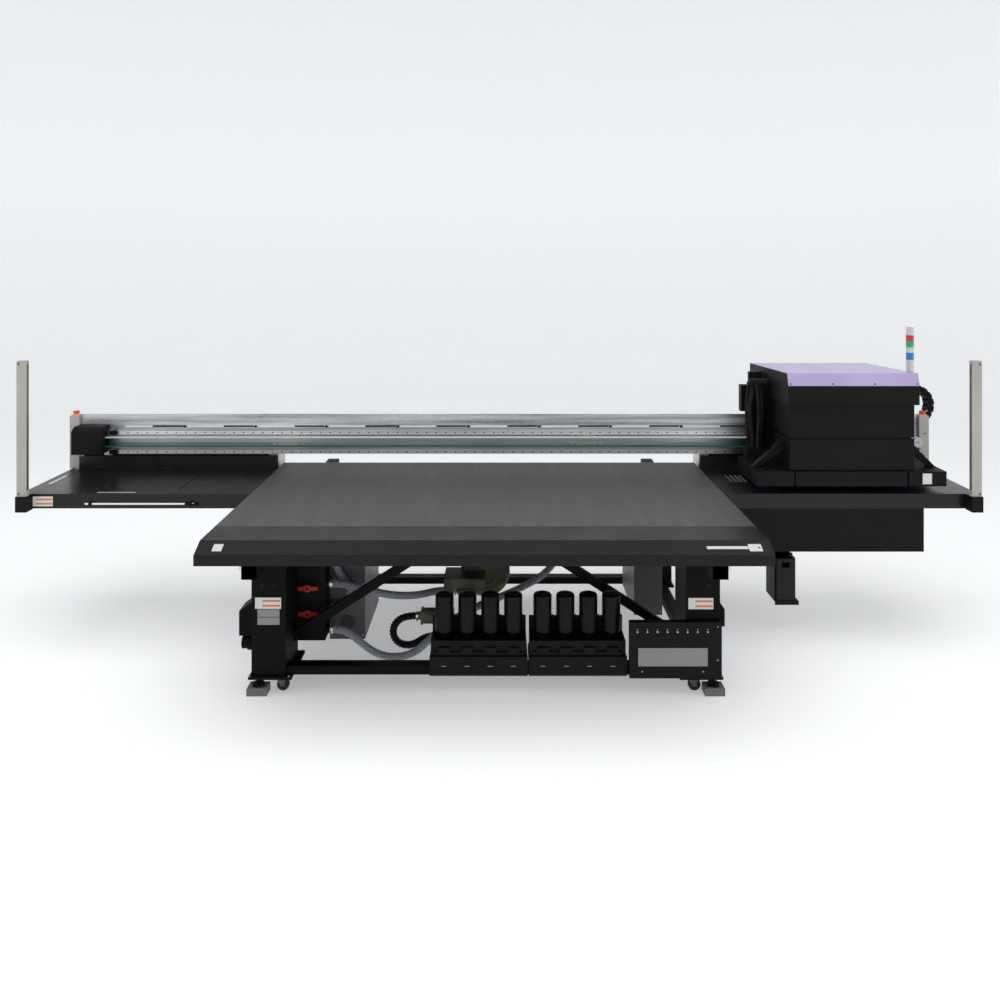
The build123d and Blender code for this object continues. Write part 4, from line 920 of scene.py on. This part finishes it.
def left_wing_details():
    """Slanting cable slot, front rod in its clips and blank labels on the left wing."""
    shape = bmesh.new()
    start = Vector((left_low.x + 0.86, left_low.y + 0.10, wing_top))
    end = Vector((left_low.x + 0.86, left_low.y + 0.52, wing_top))
    add_box(shape, start + Vector((-4 * MM, 0, -1 * MM)), end + Vector((4 * MM, 0, 0.4 * MM)))
    piece("wing_slot", "bridge", seam_black, shape)
    rod = bmesh.new()
    y = left_low.y - 9 * MM
    add_bar(rod, (left_low.x + 0.37, y, 0.806), (left_low.x + 0.98, y, 0.806), 5 * MM)
    piece("front_rod", "bridge", tape_white, rod, smooth=True)
    clips = bmesh.new()
    for x in (left_low.x + 0.40, left_low.x + 0.96):
        add_box(clips, (x - 10 * MM, left_low.y - 17 * MM, 0.794),
                (x + 10 * MM, left_low.y + 1 * MM, 0.818), 3 * MM)
    add_bar(clips, (left_low.x + 0.93, y, 0.806), (left_low.x + 1.0, y, 0.800), 8 * MM)
    piece("rod_clips", "bridge", valve_plastic, clips, smooth=True)
    striped_label("wing_front_label", "bridge", (left_low.x + 0.055, left_low.y - PROUD, 0.79),
                  (left_low.x + 0.185, left_low.y + PROUD, 0.845))
    strips("wing_labels", "bridge", label_white, [
        ((left_low.x + 0.42, left_low.y + 24 * MM, wing_top - PROUD),
         (left_low.x + 0.64, left_low.y + 34 * MM, wing_top + PROUD)),
        ((left_low.x + 0.045, left_low.y + 0.22, wing_top - PROUD),
         (left_low.x + 0.063, left_low.y + 0.42, wing_top + PROUD))])


left_wing_details()


def posts_details():
    """Dark optical window, its warm edge line, end caps and screws on the light curtain posts."""
    low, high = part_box("curtain_posts")
    windows, edges, caps, spots = [], [], bmesh.new(), []
    for x0, sign in ((low.x, 1), (high.x - 54 * MM, -1)):
        x1 = x0 + 54 * MM
        face = x1 if sign > 0 else x0
        inner = face - sign * 2.6 * MM
        a, b = sorted((inner, face - sign * 0.5 * MM))
        windows.append(((a, low.y + 9 * MM, low.z + 34 * MM), (b, low.y + 21 * MM, high.z - 20 * MM)))
        a, b = sorted((face - sign * 0.6 * MM, face + sign * 0.2 * MM))
        edges.append(((a, low.y + 8.4 * MM, low.z + 60 * MM), (b, low.y + 9.6 * MM, high.z - 80 * MM)))
        add_box(caps, (x0 - 0.5 * MM, low.y - 0.5 * MM, high.z - 6 * MM),
                (x1 + 0.5 * MM, high.y + 0.5 * MM, high.z + 2 * MM), 1.5 * MM)
        outer = x1 - 12 * MM if sign < 0 else x0 + 12 * MM
        spots += [(outer, low.y, high.z - 16 * MM), (outer, low.y, low.z + 16 * MM)]
    window = Finish("optical_window", (0.02, 0.004, 0.008), 0.12, specular=0.6)
    window.roughness(window.noise(30.0) * 0.1 + 0.08)
    strips("curtain_windows", "bridge", window.material, windows, 0.4 * MM)
    strips("window_lines", "bridge", moulded("window_line", (0.30, 0.15, 0.08), 0.4), edges)
    piece("post_caps", "bridge", light_grey, caps)
    screws("post_screws", "bridge", spots, (0, -1, 0), 5 * MM, 2 * MM)


posts_details()


def end_cover_details():
    """Screws up the fronts of the end covers, and a yellow collar under each stop button."""
    low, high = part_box("end_covers")
    spots = []
    for x in (low.x + 48 * MM, high.x - 48 * MM):
        spots += [(x, low.y, z) for z in (low.z + 16 * MM, low.z + 0.23)]
    screws("end_cover_screws", "bridge", spots, (0, -1, 0), 5 * MM, 2 * MM)
    for side in ("left", "right"):
        button_low, button_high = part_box(f"stop_button_{side}")
        middle = (button_low + button_high) / 2
        base = button_low.z - 5.3 * MM
        shape = bmesh.new()
        add_turned(shape, (middle.x, middle.y, base - 4 * MM),
                   [(8.2 * MM, 0), (23 * MM, 0), (21 * MM, 3.4 * MM), (8.2 * MM, 3.4 * MM)], sides=28)
        piece(f"stop_collar_{side}", "bridge", plinth_yellow, shape)


end_cover_details()


def signal_tower():
    """Pole with a flanged foot and stacked lens modules: clear, red, green, white and blue."""
    low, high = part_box("signal_tower")
    radius = 25 * MM
    x = high.x - radius
    y = high.y - radius
    foot_z = low.z + 20 * MM
    stack_z = high.z - 289 * MM
    pole = bmesh.new()
    add_box(pole, (low.x, low.y + 1 * MM, low.z), (high.x - 3 * MM, high.y - 2 * MM, foot_z), 2 * MM)
    add_turned(pole, (x, y, 0), [(0, foot_z - 1 * MM), (20 * MM, foot_z - 1 * MM), (20 * MM, foot_z + 8 * MM),
                                 (10 * MM, foot_z + 14 * MM), (10 * MM, stack_z - 16 * MM),
                                 (22 * MM, stack_z - 8 * MM), (22 * MM, stack_z), (0, stack_z)])
    tower = piece("tower_pole", "bridge", light_grey, pole, smooth=True)
    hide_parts("signal_tower")
    modules = (("clear_base", 74, (0.62, 0.63, 0.64)), ("blue", 47, (0.0, 0.20, 0.60)),
               ("white", 35, (0.60, 0.62, 0.62)), ("green", 39, (0.0, 0.36, 0.15)),
               ("red", 39, (0.56, 0.008, 0.02)),
               ("clear_top", 55, (0.60, 0.61, 0.62)))
    z = stack_z
    for name, height, colour in modules:
        shape = bmesh.new()
        top = z + height * MM
        r = radius - 0.5 * MM
        add_turned(shape, (x, y, 0), [(0, z), (r - 1.5 * MM, z), (r, z + 1.5 * MM), (r, top - 1.5 * MM),
                                      (r - 1.5 * MM, top), (0, top)])
        made = piece(f"tower_{name}", "bridge", lens(f"lens_{name}", colour), shape, smooth=True)
        z = top


signal_tower()


def wiper_details():
    """Soft blades in the wiper bay."""
    x0 = table_high.x + 0.108
    y1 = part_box("end_covers")[0].y - 0.084
    y0 = y1 - 0.249
    blades = bmesh.new()
    for n in range(4):
        x = x0 + 22 * MM + n * (130 - 44) / 3 * MM
        add_box(blades, (x - 1.5 * MM, y0 + 8 * MM, wing_top - 13 * MM),
                (x + 1.5 * MM, y1 - 8 * MM, wing_top - 3 * MM), 1 * MM)
    piece("wiper_blades", "bridge", label_grey, blades)


wiper_details()


# ---------------------------------------------------------------- cable chain

chain_low, chain_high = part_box("chain_bend")
chain_pitch = 44 * MM


def add_link(shape, turn, length, height, width):
    """One link: two waisted side plates and two cross bars."""
    for sign in (-1, 1):
        y0, y1 = sorted((sign * width / 2, sign * (width / 2 - 7 * MM)))
        add_box(shape, (-length * 0.48, y0, -height / 2), (length * 0.30, y1, height / 2), 2 * MM, turn)
        y0, y1 = sorted((sign * (width / 2 - 2 * MM), sign * (width / 2 - 9 * MM)))
        add_box(shape, (length * 0.26, y0, -height * 0.40), (length * 0.56, y1, height * 0.40), 2 * MM, turn)
    for z in (-height / 2 + 3 * MM, height / 2 - 3 * MM):
        add_box(shape, (-length * 0.22, -width / 2 + 6 * MM, z - 3 * MM),
                (length * 0.08, width / 2 - 6 * MM, z + 3 * MM), turn=turn)


def chain_run(name, node):
    """Straight run of links along X in place of a plain bar."""
    low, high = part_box(node)
    high.x -= 5 * MM
    count = max(2, round((high.x - low.x) / chain_pitch))
    pitch = (high.x - low.x) / count
    middle = (low + high) / 2
    shape = bmesh.new()
    for n in range(count):
        matrix = Matrix.Translation((low.x + pitch * (n + 0.48), middle.y, middle.z))
        add_link(shape, matrix, pitch, high.z - low.z, high.y - low.y)
    made = piece(name, None, chain_plastic, shape)
    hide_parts(node)
    return made


def chain_pieces():
    """The rolling bend, the lower run that shortens and the upper run that lengthens."""
    radius = (chain_high.z - chain_low.z) / 2
    height = 40 * MM
    mean = radius - height / 2
    centre = Vector((chain_low.x, (chain_low.y + chain_high.y) / 2, (chain_low.z + chain_high.z) / 2))
    count = round(math.pi * mean / chain_pitch)
    shape = bmesh.new()
    for n in range(count):
        angle = -math.pi / 2 + math.pi * (n + 0.5) / count
        out = Vector((math.cos(angle), 0, math.sin(angle)))
        along = Vector((-math.sin(angle), 0, math.cos(angle)))
        basis = Matrix((along, (0, -1, 0), out)).transposed().to_4x4()
        matrix = Matrix.Translation(centre + out * (mean - 1 * MM)) @ basis
        add_link(shape, matrix, math.pi * mean / count, height * 0.95, chain_high.y - chain_low.y)
    bend = piece("chain_rolling_bend", "chain_bend", chain_plastic, shape)
    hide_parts("chain_bend")
    lower = chain_run("chain_lower_run", "chain_lower")
    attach(lower, "bridge")
    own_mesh(lower)
    upper = chain_run("chain_upper_run", "chain_upper")
    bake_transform(upper)


chain_pieces()


# ---------------------------------------------------------------- carriage details

lid_low, lid_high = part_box("lid_cover")
band_low, band_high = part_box("upper_cowl")
cowl_low, cowl_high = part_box("front_cowls")
skirt_low, skirt_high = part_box("skirt")


def lid_details():
    """Screws along the lid's lower edge and sides, and the black side cheeks under it."""
    spots = [(x, band_low.y + 5 * MM, band_high.z + 10 * MM)
             for x in lay(lid_low.x + 14 * MM, lid_high.x - 14 * MM, 4)]
    screws("lid_screws", "print_unit", spots, (0, -1, 0.2), 5 * MM, 2.5 * MM)
    side = [(lid_high.x, y, band_high.z + 12 * MM) for y in lay(lid_low.y + 60 * MM, lid_high.y - 80 * MM, 5)]
    screws("lid_side_screws", "print_unit", side, (1, 0, 0), 5 * MM, 2 * MM)
    roof = [(x, y, 0) for x in (lid_low.x + 16 * MM, lid_high.x - 16 * MM)
            for y in lay(lid_low.y + 90 * MM, lid_high.y - 60 * MM, 5)]
    fall = 26 / 751
    top = lid_high.z
    roof = [(x, y, top - (y - lid_low.y - 25 * MM) * fall) for x, y, _ in roof]
    screws("lid_roof_screws", "print_unit", roof, (0, 0, 1), 4 * MM, 1.5 * MM)
    cheek = bmesh.new()
    for x, sign in ((lid_low.x, -1), (lid_high.x, 1)):
        a, b = sorted((x - sign * 0.5 * MM, x + sign * 1.2 * MM))
        for corner in (a, b):
            outline = [(lid_low.y + 1 * MM, band_high.z), (lid_low.y + 26 * MM, top - 1 * MM),
                       (lid_high.y, top - 27 * MM), (lid_high.y, lid_low.z), (band_high.y, lid_low.z),
                       (band_high.y, band_high.z)]
            verts = [cheek.verts.new((corner, y, z)) for y, z in outline]
            if corner == a:
                first = cheek.faces.new(verts)
            else:
                second = cheek.faces.new(verts)
        bmesh.ops.bridge_loops(cheek, edges=list(first.edges) + list(second.edges))
    piece("lid_cheeks", "print_unit", cover_black, cheek)


lid_details()


def cowl_mid():
    """The middle of the cowls across the machine."""
    return (cowl_low.x + cowl_high.x) / 2


def cowl_details():
    """Shadow gaps between the cowls, folded lower lips and side screws."""
    gaps = bmesh.new()
    inset = 12 * MM
    for z0, z1 in ((cowl_low.z + 172 * MM, cowl_low.z + 187 * MM),
                   (cowl_high.z - 2 * MM, cowl_high.z + 7 * MM)):
        add_box(gaps, (cowl_low.x + inset, cowl_low.y + inset, z0),
                (cowl_high.x - inset, cowl_high.y - 4 * MM, z1))
    piece("cowl_gaps", "print_unit", seam_black, gaps)
    lips = bmesh.new()
    for z in (cowl_low.z + 185 * MM, cowl_low.z + 1 * MM, band_low.z + 1 * MM):
        low_x = band_low.x if z > cowl_high.z else cowl_low.x
        low_y = band_low.y if z > cowl_high.z else cowl_low.y
        add_box(lips, (low_x + 3 * MM, low_y + 1 * MM, z),
                (2 * cowl_mid() - low_x - 3 * MM, low_y + 22 * MM, z + 3 * MM), 1 * MM)
    piece("cowl_lips", "print_unit", cover_black, lips)
    spots = []
    for z in (cowl_low.z + 30 * MM, cowl_low.z + 150 * MM, cowl_low.z + 215 * MM, cowl_high.z - 30 * MM):
        spots += [(cowl_high.x, y, z) for y in lay(cowl_low.y + 40 * MM, cowl_high.y - 30 * MM, 3)]
    screws("cowl_screws_right", "print_unit", spots, (1, 0, 0), 4 * MM, 1.5 * MM)
    screws("cowl_screws_left", "print_unit", [(cowl_low.x, y, z) for _, y, z in spots], (-1, 0, 0),
           4 * MM, 1.5 * MM)


cowl_details()


def unit_cables():
    """Bundle of black conduits down the left of the unit, with glands."""
    low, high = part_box("carriage_hoses")
    shape = bmesh.new()
    y = (low.y + high.y) / 2
    top = high.z - 24 * MM
    bottom = low.z
    for x, dy, bow, radius in ((1.522, -30 * MM, 6 * MM, 11 * MM), (1.478, 22 * MM, -8 * MM, 9 * MM),
                               (1.566, 26 * MM, 4 * MM, 12 * MM)):
        route = [(x, y + dy, bottom), (x, y + dy, bottom + 60 * MM), (x + bow, y + dy * 1.15, bottom + 0.16),
                 (x + bow, y + dy * 1.15, bottom + 0.26), (x, y + dy * 0.8, top - 60 * MM),
                 (x, y + dy * 0.6, top + 4 * MM)]
        places, _ = even_points(route, 14 * MM)
        for start, end in zip(places, places[1:]):
            add_bar(shape, start, end, radius, sides=14)
    piece("unit_conduits", "print_unit", hose_black, shape, smooth=True)
    glands = bmesh.new()
    for x in (1.499, 1.545):
        for z, up in ((bottom - 2 * MM, 1), (top + 2 * MM, -1)):
            add_turned(glands, (x, y, z), [(14.2 * MM, 0), (21 * MM, 0), (21 * MM, up * 14 * MM),
                                           (17 * MM, up * 26 * MM), (14.4 * MM, up * 27 * MM)])
    piece("unit_glands", "print_unit", valve_plastic, glands, smooth=True)


unit_cables()


def skirt_details():
    """Blank label, screws, dark joints between the three bays, and lamp windows below."""
    y = skirt_low.y
    x = skirt_high.x - 0.135
    strips("skirt_label", "print_unit", label_white,
           [((x, y - PROUD, skirt_low.z + 12 * MM), (x + 52 * MM, y + PROUD, skirt_low.z + 72 * MM))])
    seams = []
    for joint in (skirt_low.x + 0.212, skirt_high.x - 0.222):
        seams.append(((joint + 1 * MM, y + 14 * MM, skirt_low.z + 4 * MM),
                      (joint + 9 * MM, y + 60 * MM, skirt_low.z + 80 * MM)))
    strips("skirt_joints", "print_unit", seam_black, seams)
    spots = [(x0, y, skirt_low.z + 70 * MM) for x0 in (skirt_low.x + 12 * MM, skirt_low.x + 0.2,
                                                       skirt_high.x - 0.2, skirt_high.x - 12 * MM)]
    screws("skirt_screws", "print_unit", spots, (0, -1, 0), 4 * MM, 2 * MM)
    lamps_low, lamps_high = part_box("uv_lamps")
    windows = []
    for x0, x1 in ((lamps_low.x + 12 * MM, lamps_low.x + 0.176),
                   (lamps_high.x - 0.176, lamps_high.x - 12 * MM)):
        windows.append(((x0, lamps_low.y + 20 * MM, lamps_low.z - 1 * MM),
                        (x1, lamps_high.y - 20 * MM, lamps_low.z + 1 * MM)))
    strips("lamp_windows", "print_unit", lens("lamp_glass", (0.16, 0.10, 0.35), 0.05), windows, 0.5 * MM)


skirt_details()


# ---------------------------------------------------------------- camera, light and floor

def studio():
    """Pale round sweep, one large softbox above, two side boxes, a weak front fill and a low surround."""
    shape = bmesh.new()
    curve = 4.0
    flat = 13.0
    profile = [(0, 0), (flat, 0)]
    for n in range(1, 13):
        angle = math.pi / 2 * n / 12
        profile.append((flat + curve * math.sin(angle), curve - curve * math.cos(angle)))
    profile.append((flat + curve, 13.0))
    add_turned(shape, (0, 0, 0), profile, sides=96)
    bmesh.ops.reverse_faces(shape, faces=shape.faces)
    pale = Finish("pale_sweep", (0.86, 0.87, 0.88), 0.9, specular=0.1)
    tone = pale.noise(0.3, 1.0)
    pale.colour(pale.mix(tone * 0.2, (0.86, 0.87, 0.88), (0.88, 0.885, 0.89)))
    pale.put(pale.shader.inputs["Emission Color"], (0.98, 0.99, 1.0, 1.0))
    pale.put(pale.shader.inputs["Emission Strength"], 0.30)
    floor = piece("studio_sweep", None, pale.material, shape, smooth=True)
    for name, place, target, size, power in (("softbox", (0.0, -1.2, 5.2), (0, 0.2, 0), (9.0, 5.0), 210),
                                             ("front_fill", (0.0, -9.0, 4.0), (0, 0, 0.8), (10.0, 3.0), 20),
                                             ("left_box", (-7.5, -2.5, 2.8), (0, 0, 0.9), (3.0, 3.0), 40),
                                             ("right_box", (7.5, -2.5, 2.8), (0, 0, 0.9), (3.0, 3.0), 40)):
        data = bpy.data.lights.new(name, "AREA")
        data.shape = "RECTANGLE"
        data.size, data.size_y = size
        data.energy = power
        lamp = bpy.data.objects.new(name, data)
        lamp.location = place
        lamp.rotation_mode = "QUATERNION"
        lamp.rotation_quaternion = (Vector(target) - Vector(place)).to_track_quat("-Z", "Y")
        bpy.context.scene.collection.objects.link(lamp)
    world = bpy.data.worlds.new("surround")
    bpy.context.scene.world = world
    world.use_nodes = True
    world.node_tree.nodes["Background"].inputs["Color"].default_value = (0.93, 0.94, 0.95, 1.0)
    world.node_tree.nodes["Background"].inputs["Strength"].default_value = 0.3


def camera():
    """Level view-camera with its lens dropped, a little above the table and left of the middle."""
    data = bpy.data.cameras.new("camera")
    data.sensor_width = 36.0
    data.lens = 31.68
    data.shift_y = -0.2373
    seen = bpy.data.objects.new("camera", data)
    seen.location = (-0.027, -5.115, 2.1566)
    seen.rotation_euler = (math.pi / 2, 0, 0)
    bpy.context.scene.collection.objects.link(seen)
    bpy.context.scene.camera = seen
    bpy.context.scene.view_settings.view_transform = "Standard"


studio()
camera()
